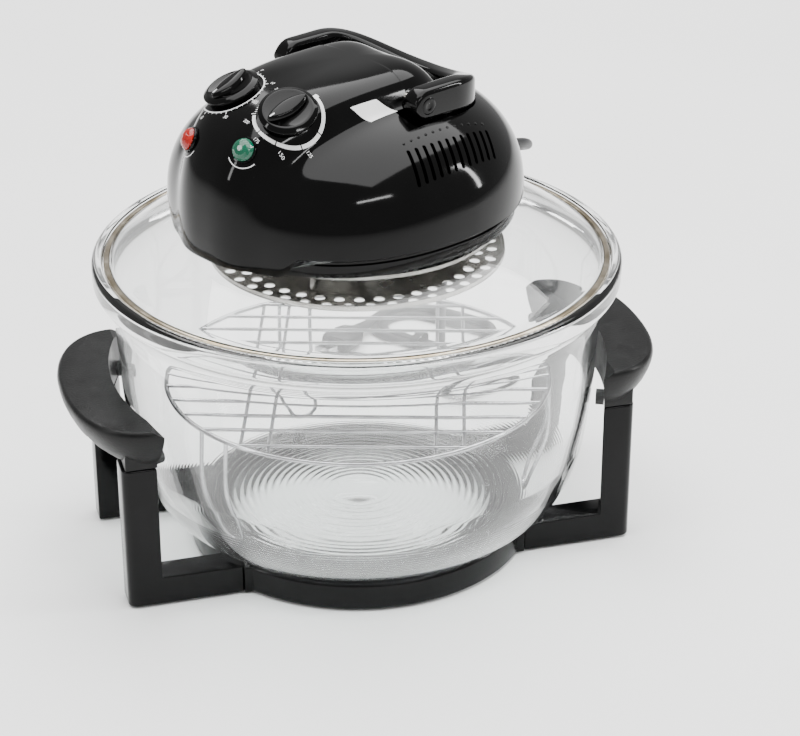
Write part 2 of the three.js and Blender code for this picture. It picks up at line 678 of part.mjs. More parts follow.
function lead() {
  const rings = [[0, 5.6], [0.5 * RELIEF_L, 5], [RELIEF_L, 4.4]];
  const relief = loft(rings.map(([x, r]) => circle(r, 12).map((p) => [-RELIEF_X - x, -p.x, OUTLET_Z + p.y])));
  piece('strain_relief', relief, 'rubber', head);
  const ends = [2 * GAP, 8].map((x) => fromHead(-RELIEF_X - RELIEF_L - x, 0, OUTLET_Z - x / 8).toArray());
  piece('power_cord', wire(smooth([...ends, ...LEAD]), CORD_R, 32, 8), 'rubber');
}

// Racetrack outline about the origin, its long side along X
function racetrack(length, width, steps) {
  const r = width / 2;
  const mid = length / 2 - r;
  return [1, -1].flatMap((end) => Array.from({ length: steps + 1 }, (_, i) => {
    const a = Math.PI * (i / steps - 0.5) + (end < 0 ? Math.PI : 0);
    return new THREE.Vector2(end * mid + r * Math.cos(a), r * Math.sin(a));
  }));
}

function onHank(name, geometry, look) {
  const mesh = piece(name, geometry, look);
  mesh.position.set(HANK.x, HANK.y, 0);
  mesh.rotation.z = HANK_TURN;
}

// The spare length wound flat in a long hank, tied round one run, with the plug at its far end
function hank() {
  const edge = 3;
  const { length, width, bundle, height } = HANK;
  const flat = new THREE.Shape(racetrack(length - 2 * edge, width - 2 * edge, 8));
  const slot = new THREE.Path(racetrack(length - 2 * bundle + 2 * edge, width - 2 * bundle + 2 * edge, 6));
  flat.holes.push(slot);
  const coil = new THREE.ExtrudeGeometry(flat, {
    depth: height - 2 * edge, bevelEnabled: true, bevelThickness: edge, bevelSize: edge, bevelSegments: 1,
  }).translate(0, 0, edge + GAP);
  onHank('cord_hank', coil, 'rubber');
  const middle = width / 2 - bundle / 2;
  const reach = bundle / 2 + GAP;
  const outer = block(-6, 6, middle - reach - 1, middle + reach + 1, 0.1, height + 2);
  const inner = block(-7, 7, middle - reach, middle + reach, 0.25, height + 2 * GAP);
  onHank('cord_tie', cut(outer, inner), 'satin');
  plug();
}

// Flat two-blade plug with a ribbed boot towards the hank
function plug() {
  const root = 25.2;
  const across = -48.8; // on the line that leaves the hank's far fold sideways
  const mid = 8.1;
  const sections = [[0, 4.2, 4.2], [14, 5.6, 5.2], [18, 11, 8.6], [34, 13, 9.6], [44, 12, 9]];
  const body = loft(sections.map(([x, w, h]) => racetrack(2 * w, 1.6 * h, 4).map((p) => [
    root + x, across + p.x, mid + p.y])));
  const blades = [-6.35, 6.35].map((y) => block(
    root + 43, root + 61, across + y - 0.8, across + y + 0.8, mid - 3.2, mid + 3.2));
  onHank('plug', join(body, ...blades).rotateZ(Math.PI / 2), 'rubber');
}

baseRing();
legBracket('leg_front_left', -1, -1);
legBracket('leg_front_right', 1, -1);
legBracket('leg_rear_left', -1, 1);
legBracket('leg_rear_right', 1, 1);
sideHandle('handle_left', -1);
sideHandle('handle_right', 1);
standSmallParts();
bowl();
rack();
lid();
guard();
heater();
driveTrain();
headBase();
housing();
control('timer', 'timer_mechanism', [18, 12, 7]);
control('temperature', 'thermostat', [18, 20, 12]);
lens('power', 'red');
lens('heat', 'green');
bailHandle();
interlock();
lead();
hank();

export default oven;
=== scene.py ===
"""Table-top halogen bowl oven on a pale floor: a glass bowl in a black stand, a wire rack, and a
glass lid with a glossy black head that holds the dials, lamps, vents and a folding bail handle.

Lengths are written in millimetres and turned into metres when a mesh is made."""

import math

import bmesh
import bpy
from mathutils import Matrix, Vector


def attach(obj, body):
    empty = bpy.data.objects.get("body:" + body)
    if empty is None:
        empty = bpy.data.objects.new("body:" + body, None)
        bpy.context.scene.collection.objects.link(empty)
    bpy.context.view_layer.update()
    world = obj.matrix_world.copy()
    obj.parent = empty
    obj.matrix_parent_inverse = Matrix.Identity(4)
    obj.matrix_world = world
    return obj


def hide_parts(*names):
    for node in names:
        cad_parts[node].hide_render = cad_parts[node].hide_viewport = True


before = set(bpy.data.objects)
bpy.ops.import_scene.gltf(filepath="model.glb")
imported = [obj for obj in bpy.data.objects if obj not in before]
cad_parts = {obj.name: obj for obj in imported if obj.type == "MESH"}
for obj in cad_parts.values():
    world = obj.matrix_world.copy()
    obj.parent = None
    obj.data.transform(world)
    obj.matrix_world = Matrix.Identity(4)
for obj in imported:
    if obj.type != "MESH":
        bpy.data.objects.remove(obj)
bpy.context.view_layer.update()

MM = 0.001
TAU = math.tau

# The stand, bowl and lid, about the vertical axis through the origin
RING_OUTER, RING_INNER, RING_TOP, RING_FOOT = 110.5, 84.0, 20.0, 1.5
LEG_IN, LEG_FACE, LEG_OUTER, LEG_TOP, BAR_TOP = 46.5, 66.5, 165.0, 97.5, 20.5
STAND_BORE = 158.0
HANDLE_ROOT, HANDLE_REACH, HANDLE_HALF, HANDLE_LOW, HANDLE_TOP = 146.0, 190.5, 75.0, 97.8, 127.0
LIP_R, LIP_TOP = 165.0, 198.0
BAND_OUTER, BAND_INNER, BAND_LOW = 157.5, 153.7, 192.9
LID_HOLE, LID_CROWN = 84.0, 226.0
RACK_R, RACK_Z, RACK_TURN, RACK_PITCH = 121.5, 112.0, -17.0, 20.0
GUARD_R, GUARD_Z, SHIELD_Z = 92.0, 196.0, 213.0
LAMP_R, LAMP_Z = 58.0, 204.5

# The head, in its own frame: x towards its front, y to its left, z up from the table
HEAD_YAW = math.radians(206.6)
HEAD_FLOOR, HEAD_WAIST, HEAD_SEAM = 226.3, 240.0, 239.4
HEAD_FRONT, HEAD_SIDE, HEAD_REAR, BODY_H = 113.5, 104.0, 102.0, 70.0
CAP_FRONT, CAP_SIDE, CAP_REAR, CAP_H = 119.5, 50.8, 48.0, 84.5
TRAY_INSET, TRAY_TOP, TRAY_WALL, TRAY_HOLE = 4.8, 238.7, 3.0, 88.0
NOSE_START, NOSE_BLEND = 0.83, 0.08  # cosines of the turn over which the shell's edge drops
FOOT_PULL, MIDDLE_PULL = 0.992, 0.998  # the shell draws in below its waist
VENTS, VENT_W = 12, 2.4
VENT_TOP = ((28, 75.4, 291.4), (-35.5, 75.1, 287))
VENT_FOOT = ((33.1, 92.2, 275.5), (-29.6, 89.9, 275.2))
TIMER, THERMOSTAT, KNOB_R, KNOB_GRIP = (78.4, -20.8), (76.9, 28.5), 17.5, 6.8
POWER_LENS, HEAT_LENS = (107, -25), (104.5, 21.4)
LABEL = ((42, 42.8), (22.6, 43.7), (12.2, 51.0), (33, 50.9))
PIVOT_Z, BAIL_L, BAIL_W, BAIL_HALF, BAIL_STRAIGHT, BAIL_BOW = 309.5, 58.6, 12.8, 10.0, 22.0, 34.0
CHANNEL, WELL_R = 1.5, 14.5
OUTLET_Z, RELIEF_X, RELIEF_L = 232.8, 97.8, 27.0

# The mains lead
CORD_R = 3.5
ON_TABLE = CORD_R + 0.1
LEAD = (
    (130.5, 68, 228), (138.5, 81, 221.5), (140, 96, 215), (134.5, 111, 209), (125.5, 124, 202),
    (116, 133, 190), (109, 138.5, 175), (104.5, 142, 156), (102, 144, 134), (100.8, 145.5, 110),
    (100.5, 147, 86), (101, 149, 60), (102.5, 151.5, 34), (106.3, 153, 18.8), (116.6, 157, 7.7),
    (130.8, 162.4, ON_TABLE), (143, 167.2, ON_TABLE), (152.5, 170.9, ON_TABLE),
    (165.1, 179, ON_TABLE), (173.4, 192.2, ON_TABLE), (175.6, 204.5, ON_TABLE),
    (175.6, 221.2, ON_TABLE), (175.6, 232, ON_TABLE),
)
HANK_CENTRE, HANK_TURN, HANK_MID = Vector((131.5, 260, 0)), math.atan2(0.75, -0.66), 24.0

HEAD = Matrix.Rotation(HEAD_YAW, 4, "Z")


# ---- Materials ---------------------------------------------------------------------


def material(name, dark, light, rough, metallic=0.0, scale=60.0, bump=0.0, bump_scale=900.0, **sockets):
    """Principled material whose colour and roughness wander slightly, with a fine grain in relief."""
    made = bpy.data.materials.new(name)
    made.use_nodes = True
    nodes, links = made.node_tree.nodes, made.node_tree.links
    shader = nodes["Principled BSDF"]
    shader.inputs["Metallic"].default_value = metallic
    for key, value in sockets.items():
        shader.inputs[key.replace("_", " ")].default_value = value
    coords = nodes.new("ShaderNodeTexCoord")
    noise = nodes.new("ShaderNodeTexNoise")
    noise.inputs["Scale"].default_value = scale
    noise.inputs["Detail"].default_value = 5
    links.new(coords.outputs["Object"], noise.inputs["Vector"])
    ramp = nodes.new("ShaderNodeValToRGB")
    ramp.color_ramp.elements[0].position = 0.35
    ramp.color_ramp.elements[1].position = 0.65
    ramp.color_ramp.elements[0].color = (*dark, 1)
    ramp.color_ramp.elements[1].color = (*light, 1)
    links.new(noise.outputs["Fac"], ramp.inputs["Fac"])
    links.new(ramp.outputs["Color"], shader.inputs["Base Color"])
    spread = nodes.new("ShaderNodeMapRange")
    spread.inputs["From Min"].default_value = 0.3
    spread.inputs["From Max"].default_value = 0.7
    spread.inputs["To Min"].default_value = rough[0]
    spread.inputs["To Max"].default_value = rough[1]
    links.new(noise.outputs["Fac"], spread.inputs["Value"])
    links.new(spread.outputs["Result"], shader.inputs["Roughness"])
    if bump:
        grain = nodes.new("ShaderNodeTexNoise")
        grain.inputs["Scale"].default_value = bump_scale
        grain.inputs["Detail"].default_value = 3
        links.new(coords.outputs["Object"], grain.inputs["Vector"])
        relief = nodes.new("ShaderNodeBump")
        relief.inputs["Strength"].default_value = bump
        relief.inputs["Distance"].default_value = 0.0003
        links.new(grain.outputs["Fac"], relief.inputs["Height"])
        links.new(relief.outputs["Normal"], shader.inputs["Normal"])
    return made


def brushed(made, axis_scale):
    """Stretches the relief of a metal into fine parallel marks."""
    nodes, links = made.node_tree.nodes, made.node_tree.links
    coords = nodes["Texture Coordinate"]
    mapping = nodes.new("ShaderNodeMapping")
    mapping.inputs["Scale"].default_value = axis_scale
    links.new(coords.outputs["Object"], mapping.inputs["Vector"])
    for node in nodes:
        if node.type == "TEX_NOISE" and node.inputs["Scale"].default_value > 500:
            links.new(mapping.outputs["Vector"], node.inputs["Vector"])
    return made


def clear_glass(name, tint, smear, waviness):
    """Clear glass with faint smears and ripples that lets the lamps' light through."""
    made = material(
        name, tint, tuple(min(1, c * 1.01) for c in tint), (0.0, smear), scale=14,
        bump=waviness, bump_scale=26, Transmission_Weight=1.0, IOR=1.45,
    )
    nodes, links = made.node_tree.nodes, made.node_tree.links
    path = nodes.new("ShaderNodeLightPath")
    passing = nodes.new("ShaderNodeBsdfTransparent")
    passing.inputs["Color"].default_value = (0.95, 0.97, 0.965, 1)
    mix = nodes.new("ShaderNodeMixShader")
    links.new(path.outputs["Is Shadow Ray"], mix.inputs["Fac"])
    links.new(nodes["Principled BSDF"].outputs["BSDF"], mix.inputs[1])
    links.new(passing.outputs["BSDF"], mix.inputs[2])
    links.new(mix.outputs["Shader"], nodes["Material Output"].inputs["Surface"])
    return made


BLACK = material(
    "gloss_black", (0.0006, 0.0006, 0.0006), (0.0012, 0.0012, 0.0012), (0.05, 0.1), scale=30,
    bump=0.04, bump_scale=160, Specular_IOR_Level=0.16)
STAND_BLACK = material(
    "stand_black", (0.0008, 0.0008, 0.0009), (0.0016, 0.0016, 0.0018), (0.1, 0.2), scale=45,
    bump=0.12, bump_scale=420, Specular_IOR_Level=0.16)
GRAINED = material(
    "grained_black", (0.0015, 0.0015, 0.0015), (0.003, 0.003, 0.003), (0.3, 0.45), scale=80,
    bump=0.5, bump_scale=700, Specular_IOR_Level=0.2)
RUBBER = material(
    "foot_rubber", (0.008, 0.008, 0.008), (0.016, 0.016, 0.016), (0.6, 0.8), bump=0.4)
SHEATH = material(
    "cord_sheath", (0.008, 0.008, 0.0085), (0.014, 0.014, 0.015), (0.35, 0.5), bump=0.2)
SLOT_DARK = material("vent_dark", (0.001, 0.001, 0.001), (0.002, 0.002, 0.002), (0.6, 0.8))
WIRE = material(
    "plated_wire", (0.34, 0.34, 0.35), (0.52, 0.52, 0.53), (0.12, 0.24), metallic=1.0,
    bump=0.1, bump_scale=500)
# Steel lid band: its warm gold-brown colour is a painted reflection, not the steel's own tint.
BAND_PAINTED_GOLD_REFLECTION = brushed(material(
    "polished_band", (0.34, 0.28, 0.19), (0.58, 0.52, 0.42), (0.14, 0.28), metallic=1.0,
    bump=0.15, bump_scale=900), (1, 1, 8))
SHEET = brushed(material(
    "bright_sheet", (0.30, 0.29, 0.27), (0.46, 0.45, 0.43), (0.14, 0.3), metallic=1.0,
    bump=0.2, bump_scale=800), (1, 9, 1))
CERAMIC = material("insulator", (0.66, 0.62, 0.54), (0.78, 0.75, 0.68), (0.45, 0.6), bump=0.2)
PRINT = material("white_print", (0.62, 0.62, 0.62), (0.74, 0.74, 0.74), (0.3, 0.45), bump=0.1)
PAPER = material("label", (0.72, 0.72, 0.71), (0.80, 0.80, 0.79), (0.3, 0.42), bump=0.05)
# Red lens with a faint emission: a painted glow, though its lamp is not lit.
RED_LENS_PAINTED_GLOW = material(
    "red_lens", (0.30, 0.008, 0.004), (0.55, 0.02, 0.01), (0.05, 0.12), Transmission_Weight=0.35,
    IOR=1.49, Emission_Color=(0.8, 0.03, 0.01, 1), Emission_Strength=0.04)
# Green lens with a faint emission: a painted glow, though its lamp is not lit.
GREEN_LENS_PAINTED_GLOW = material(
    "green_lens", (0.002, 0.07, 0.035), (0.004, 0.15, 0.08), (0.05, 0.12), Transmission_Weight=0.35,
    IOR=1.49, Emission_Color=(0.01, 0.5, 0.25, 1), Emission_Strength=0.03)
BOWL_GLASS = clear_glass("bowl_glass", (0.985, 0.995, 0.992), 0.012, 0.05)
LID_GLASS = clear_glass("lid_glass", (0.985, 0.993, 0.99), 0.02, 0.03)
QUARTZ = clear_glass("quartz", (0.97, 0.96, 0.94), 0.05, 0.02)


# ---- Mesh helpers --------------------------------------------------------------------


def smooth_shade(mesh, angle):
    """Smooth shading with the edges sharper than an angle kept sharp."""
    work = bmesh.new()
    work.from_mesh(mesh)
    for face in work.faces:
        face.smooth = True
    for edge in work.edges:
        edge.smooth = len(edge.link_faces) == 2 and edge.calc_face_angle(0) < math.radians(angle)
    work.to_mesh(mesh)
    work.free()


def mesh_object(name, points, faces, look, angle=35.0, place=None):
    """Mesh in metres from millimetre points, with outward normals and one material."""
    mesh = bpy.data.meshes.new(name)
    if place is not None:
        points = [place @ Vector(p) for p in points]
    mesh.from_pydata([[c * MM for c in p] for p in points], [], faces)
    mesh.validate()
    work = bmesh.new()
    work.from_mesh(mesh)
    bmesh.ops.recalc_face_normals(work, faces=work.faces)
    work.to_mesh(mesh)
    work.free()
    smooth_shade(mesh, angle)
    mesh.materials.append(look)
    made = bpy.data.objects.new(name, mesh)
    bpy.context.scene.collection.objects.link(made)
    return made


def settle(made, body, slot, *replaced):
    """Puts a piece on its body, in place of the CAD nodes it stands for; slot is not used."""
    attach(made, body)
    if replaced:
        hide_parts(*replaced)
    return made


def rings(sections, closed=False, caps=True):
    """Points and faces of a skin through outlines with equal point counts."""
    count = len(sections[0])
    points = [p for section in sections for p in section]
    total = len(sections)
    faces = []
    for s in range(total if closed else total - 1):
        a, b = s * count, ((s + 1) % total) * count
        for i in range(count):
            j = (i + 1) % count
            faces.append((a + i, a + j, b + j, b + i))
    if caps and not closed:
        faces.append(tuple(range(count))[::-1])
        faces.append(tuple(range((total - 1) * count, total * count)))
    return points, faces


def lathe(profile, segments=144, closed=False):
    """Points and faces of a profile of [radius, height] turned about Z; closed joins its ends."""
    points, index = [], []
    for r, z in profile:
        if r < 1e-6:
            index.append([len(points)] * segments)
            points.append((0, 0, z))
        else:
            index.append(list(range(len(points), len(points) + segments)))
            points += [(r * math.cos(TAU * k / segments), r * math.sin(TAU * k / segments), z)
                       for k in range(segments)]
    faces = []
    rows = len(profile)
    for s in range(rows if closed else rows - 1):
        a, b = index[s], index[(s + 1) % rows]
        for k in range(segments):
            n = (k + 1) % segments
            face = list(dict.fromkeys((a[k], a[n], b[n], b[k])))
            if len(face) > 2:
                faces.append(tuple(face))
    return points, faces


def arc(r, z, radius, start, end, steps):
    """Stretch of a circle in a profile, its angles in degrees."""
    return [(r + radius * math.cos(math.radians(start + (end - start) * i / steps)),
             z + radius * math.sin(math.radians(start + (end - start) * i / steps)))
            for i in range(steps + 1)]


def bezier(a, b, c, d, steps):
    """Cubic curve from a to d in a profile."""
    a, b, c, d = (Vector((*p, 0)) for p in (a, b, c, d))
    out = []
    for i in range(steps + 1):
        t = i / steps
        p = a * (1 - t) ** 3 + b * 3 * t * (1 - t) ** 2 + c * 3 * t * t * (1 - t) + d * t ** 3
        out.append((p.x, p.y))
    return out


def curve_through(points, per_span=6, closed=False):
    """Centripetal Catmull-Rom line through points."""
    points = [Vector(p) for p in points]
    if closed:
        loop = [points[-1], *points, points[0], points[1]]
    else:
        loop = [points[0] * 2 - points[1], *points, points[-1] * 2 - points[-2]]
    out = []
    for a, b, c, d in zip(loop, loop[1:], loop[2:], loop[3:]):
        t0 = 0.0
        t1 = t0 + max(1e-6, (b - a).length ** 0.5)
        t2 = t1 + max(1e-6, (c - b).length ** 0.5)
        t3 = t2 + max(1e-6, (d - c).length ** 0.5)
        for i in range(per_span):
            t = t1 + (t2 - t1) * i / per_span
            a1 = a * ((t1 - t) / (t1 - t0)) + b * ((t - t0) / (t1 - t0))
            a2 = b * ((t2 - t) / (t2 - t1)) + c * ((t - t1) / (t2 - t1))
            a3 = c * ((t3 - t) / (t3 - t2)) + d * ((t - t2) / (t3 - t2))
            b1 = a1 * ((t2 - t) / (t2 - t0)) + a2 * ((t - t0) / (t2 - t0))
            b2 = a2 * ((t3 - t) / (t3 - t1)) + a3 * ((t - t1) / (t3 - t1))
            out.append(b1 * ((t2 - t) / (t2 - t1)) + b2 * ((t - t1) / (t2 - t1)))
    if not closed:
        out.append(points[-1])
    return out


def tube(line, radius, sides=12, closed=False):
    """Round bar along a line of points, with a frame that doesn't twist."""
    line = [Vector(p) for p in line]
    total = len(line)
    turns = [TAU * k / sides for k in range(sides)]
    normal = None
    sections = []
    for i, p in enumerate(line):
        before = line[i - 1] if closed or i else line[0]
        after = line[(i + 1) % total] if closed or i + 1 < total else line[-1]
        along = (after - before).normalized()
        if normal is None:
            normal = along.orthogonal().normalized()
        normal = (normal - along * normal.dot(along)).normalized()
        other = along.cross(normal)
        sections.append([p + (normal * math.cos(a) + other * math.sin(a)) * radius for a in turns])
    return rings(sections, closed)


def gather(*parts):
    """Joins several (points, faces) pairs into one."""
    points, faces = [], []
    for some, some_faces in parts:
        base = len(points)
        points += [Vector(p) for p in some]
        faces += [tuple(base + i for i in face) for face in some_faces]
    return points, faces


def box_part(lo, hi):
    (x0, y0, z0), (x1, y1, z1) = lo, hi
    return rings([[(x0, y0, z), (x1, y0, z), (x1, y1, z), (x0, y1, z)] for z in (z0, z1)])


def bevel(made, width, segments=3, angle=30.0):
    """Rounds the sharp edges of a finished mesh."""
    work = bmesh.new()
    work.from_mesh(made.data)
    sharp = [e for e in work.edges if len(e.link_faces) == 2 and e.calc_face_angle(0) > math.radians(angle)]
    bmesh.ops.bevel(work, geom=sharp, offset=width * MM, segments=segments, affect="EDGES",
                    profile=0.5, clamp_overlap=True)
    work.to_mesh(made.data)
    work.free()
    smooth_shade(made.data, 40)
    return made


def boolean(made, tools, operation="DIFFERENCE", angle=35.0):
    """Cuts or joins solids for good, and removes the tools."""
    for tool in tools:
        step = made.modifiers.new("cut", "BOOLEAN")
        step.operation = operation
        step.solver = "EXACT"
        step.object = tool
    graph = bpy.context.evaluated_depsgraph_get()
    result = bpy.data.meshes.new_from_object(made.evaluated_get(graph))
    made.modifiers.clear()
    made.data = result
    smooth_shade(made.data, angle)
    for tool in tools:
        bpy.data.objects.remove(tool, do_unlink=True)
    return made


# ---- The head's skin --------------------------------------------------------------------


def power(value, n):
    """Magnitude of a value raised to n."""
    return abs(value) ** n


def skin_reach(d):
    """Distance from the head's middle, at waist level, to its outer skin in a direction."""
    front = d.x > 0
    n = 2.4 if front else 2.0
    body = (power(d.x / (HEAD_FRONT if front else HEAD_REAR), n) + power(d.y / HEAD_SIDE, n)) ** (1 / n)
    body_r = (power(body, 2.5) + power(d.z / BODY_H, 2.5)) ** (-1 / 2.5)
    along = power(d.x / (CAP_FRONT if front else CAP_REAR), 3)
    across = power(d.y / CAP_SIDE, 3)
    share = across / (along + across + 1e-9)
    cap_n = (3.1 if front else 2.8) + 1.7 * share
    cap_r = (power((along + across) ** (1 / 3), cap_n) + power(d.z / CAP_H, cap_n)) ** (-1 / cap_n)
    return (power(body_r, 26) + power(cap_r, 26)) ** (1 / 26)


def skin_point(turn, rise, inset=0.0):
    d = Vector((math.cos(rise) * math.cos(turn), math.cos(rise) * math.sin(turn), math.sin(rise)))
    return d * (skin_reach(d) - inset) + Vector((0, 0, HEAD_WAIST))


def over_plan(x, y):
    """Point of the skin over a plan position."""
    turn, goal = math.atan2(y, x), math.hypot(x, y)
    low, high = 0.0, math.pi / 2
    for _ in range(36):
        rise = (low + high) / 2
        p = skin_point(turn, rise)
        if math.hypot(p.x, p.y) > goal:
            low = rise
        else:
            high = rise
    return skin_point(turn, low)


def on_skin(place):
    """Frame on the skin: +Z leaves it and +X leans towards the head's front."""
    x, y = place
    step = 6
    ahead = over_plan(x + step, y) - over_plan(x - step, y)
    aside = over_plan(x, y + step) - over_plan(x, y - step)
    normal = ahead.cross(aside).normalized()
    side = normal.cross(Vector((1, 0, 0))).normalized()
    forward = side.cross(normal)
    made = Matrix((forward, side, normal)).transposed().to_4x4()
    made.translation = over_plan(x, y)
    return made


def drop_to_skin(seat, u, v, lift):
    """Point of the skin under a place in a seat's plane, lifted a little off it."""
    normal = (seat.to_3x3() @ Vector((0, 0, 1))).normalized()
    start = seat @ Vector((u, v, 0))
    middle = Vector((0, 0, HEAD_WAIST))
    low, high = -40.0, 14.0
    for _ in range(36):
        t = (low + high) / 2
        p = start + normal * t - middle
        if p.length > skin_reach(p.normalized()):
            high = t
        else:
            low = t
    return start + normal * (low + lift)


def shell_edge(turn):
    """Height of the shell's lower edge, which drops to the head's floor round the nose."""
    t = min(1.0, max(0.0, (math.cos(turn) - NOSE_START) / NOSE_BLEND))
    return HEAD_SEAM + (HEAD_FLOOR - HEAD_SEAM) * t * t * (3 - 2 * t)


def head_solid(count, rows, floor_at):
    """The head's skin as a solid, from its lower edge to a small flat at the crown."""
    turns = [TAU * i / count for i in range(count)]
    waist = [skin_point(t, 0) for t in turns]
    foot = [Vector((p.x * FOOT_PULL, p.y * FOOT_PULL, floor_at(t))) for p, t in zip(waist, turns)]
    middle = [Vector((p.x * MIDDLE_PULL, p.y * MIDDLE_PULL, (floor_at(t) * 2 + HEAD_WAIST) / 3 + 0.4))
              for p, t in zip(waist, turns)]
    rises = [(i / rows) ** 1.05 * math.pi / 2 for i in range(rows)]
    return rings([foot, middle, *[[skin_point(t, rise) for t in turns] for rise in rises]])


def bail_line(grow, steps):
    """Stations (x, y, low, high) from one pivot eye, round the bow, to the other."""
    half = BAIL_HALF + grow
    ends = [(half * math.cos(a), BAIL_L, -half * math.sin(a), half * math.sin(a))
            for a in (0.16, 0.42, 0.72, 1.04, 1.33, math.pi / 2)]
    bend = []
    for i in range(2 * steps + 1):
        c, s = math.cos(i / steps * math.pi / 2), math.sin(i / steps * math.pi / 2)
        bend.append((-BAIL_STRAIGHT - BAIL_BOW * power(s, 1 / 1.2),
                     math.copysign(BAIL_L * power(c, 1 / 1.2), c),
                     -half - 7.5 * s * s, half - 13.5 * s * s))
    return [*ends, *bend, *[(x, -y, lo, hi) for x, y, lo, hi in reversed(ends)]]


def bow(grow, steps, chamfer=3.4, corner=4):
    """Skin along the folded bail handle's line, grown on every face, with rounded long edges."""
    line = bail_line(grow, steps)
    half = BAIL_W / 2 + grow
    sections = []
    for i, (x, y, low, high) in enumerate(line):
        ax, ay = line[max(0, i - 1)][:2]
        bx, by = line[min(len(line) - 1, i + 1)][:2]
        run = math.hypot(bx - ax, by - ay)
        nx, ny = (ay - by) / run, (bx - ax) / run
        c = min(chamfer, (high - low) / 3)
        outline = []
        corners = ((half - c, low + c), (half - c, high - c), (c - half, high - c), (c - half, low + c))
        for k, (cn, cz) in enumerate(corners):
            for j in range(corner + 1):
                a = math.radians(-90 + 90 * k + 90 * j / corner)
                outline.append((cn + c * math.cos(a), cz + c * math.sin(a)))
        sections.append([(x + n * nx, y + n * ny, PIVOT_Z + z) for n, z in outline])
    return rings(sections)


# ---- Camera and mains lead ---------------------------------------------------------------

lens = bpy.data.cameras.new("camera")
lens.sensor_width = 36
lens.lens = 108.93
camera = bpy.data.objects.new("camera", lens)
camera.location = (-0.3513, -1.3368, 0.8110)
aim = Vector((0.0258, -0.0073, 0.1138)) - Vector(camera.location)
camera.rotation_euler = aim.to_track_quat("-Z", "Y").to_euler()
bpy.context.scene.collection.objects.link(camera)
bpy.context.scene.camera = camera


def hank_point(radius, angle, end, z):
    """A point on a fold of the hank; end is -1 at the near fold and 1 at the far one."""
    along = Vector((math.cos(HANK_TURN), math.sin(HANK_TURN), 0))
    centre = HANK_CENTRE + along * (end * HANK_MID)
    return centre + Vector((radius * math.cos(angle), radius * math.sin(angle), z))


def lap(radius, after, z, z_after):
    """One turn of the hank, from the near fold's east side round to it again."""
    lean = HANK_TURN - math.pi / 2
    stops = [(-1, a) for a in (lean * 0.5, lean)]
    stops += [(1, lean + math.pi * k / 7) for k in range(8)]
    stops += [(-1, lean + math.pi + (math.pi - lean) * k / 6) for k in range(7)]
    out = []
    for k, (end, a) in enumerate(stops):
        t = max(0.0, (k - 10) / (len(stops) - 11))
        t = t * t * (3 - 2 * t)
        out.append(hank_point(radius + (after - radius) * t, a, end, z + (z_after - z) * t))
    return out


def mains_lead():
    start = [HEAD @ Vector((-RELIEF_X - RELIEF_L - x, 0, OUTLET_Z - x / 8)) for x in (0.3, 8)]
    lean = HANK_TURN - math.pi / 2
    route = [*start, *[Vector(p) for p in LEAD]]
    route += lap(28.3, 21.2, ON_TABLE, ON_TABLE)
    route += lap(21.2, 24.7, ON_TABLE, 9.9)
    route += [hank_point(24.7, a, -1, 10) for a in (lean * 0.5, lean)]
    route += [hank_point(24.7, lean + math.pi * k / 14, 1, 10) for k in range(8)]
    leaving = Vector((math.cos(HANK_TURN + math.pi / 2), math.sin(HANK_TURN + math.pi / 2), 0))
    last = route[-1]
    route += [last + leaving * d + Vector((0, 0, -drop)) for d, drop in ((12, 0.6), (24, 1.7), (34, 1.9))]
    spline_points = curve_through(route, 4)
    data = bpy.data.curves.new("mains_lead", "CURVE")
    data.dimensions = "3D"
    data.bevel_depth = CORD_R * MM
    data.bevel_resolution = 5
    data.use_fill_caps = True
    spline = data.splines.new("POLY")
    spline.points.add(len(spline_points) - 1)
    for point, p in zip(spline.points, spline_points):
        point.co = (*(Vector(p) * MM), 1)
    spline.use_smooth = True
    data.materials.append(SHEATH)
    made = bpy.data.objects.new("mains_lead", data)
    bpy.context.scene.collection.objects.link(made)
    settle(made, "lid", "cord_black", "power_cord", "cord_hank")
    length = sum((b - a).length for a, b in zip(spline_points, spline_points[1:])) * MM
    return made, Vector(spline_points[0]) * MM, length


def oval(half_w, half_h, n, count=40):
    """Superellipse outline: n 2 is an ellipse, and a larger n is squarer."""
    out = []
    for i in range(count):
        c, s = math.cos(TAU * i / count), math.sin(TAU * i / count)
        out.append((math.copysign(power(c, 2 / n), c) * half_w, math.copysign(power(s, 2 / n), s) * half_h))
    return out


def plug_piece():
    """Moulded two-blade plug with a ribbed boot, at the hank's far fold."""
    place = Matrix.Translation(HANK_CENTRE) @ Matrix.Rotation(HANK_TURN + math.pi / 2, 4, "Z")
    root, across, mid = 25.2, -48.8, 8.1
    stations = []
    for k in range(6):
        x = 1 + k * 2.6
        wide = 4.0 + k * 0.3
        stations.append((x - 1, wide - 0.7, wide - 0.9, 2))
        stations += [(at, wide, wide - 0.2, 2) for at in (x, x + 0.9)]
    stations += [
        (18, 8.5, 6.2, 2.4), (20, 10.6, 7.0, 3), (26, 12.2, 7.4, 3.4), (36, 12.8, 7.6, 3.6),
        (42, 12.4, 7.4, 3.6), (44, 11.4, 6.6, 3.6),
    ]
    body = rings([[(root + x, across + w, mid + h) for w, h in oval(a, b, n)] for x, a, b, n in stations])
    made = mesh_object("plug_body", *body, SHEATH, 28, place)
    settle(made, "lid", "cord_black", "plug")
    tip, thick, tall = root + 60.5, 0.8, 3.1
    blades = gather(*[
        box_part((root + 43, across + y - thick, mid - tall), (tip, across + y + thick, mid + tall))
        for y in (-6.35, 6.35)])
    pins = bevel(mesh_object("plug_blades", *blades, WIRE, 30, place), 0.35, 2)
    settle(pins, "lid", "chrome_wire")
    return [made, pins]


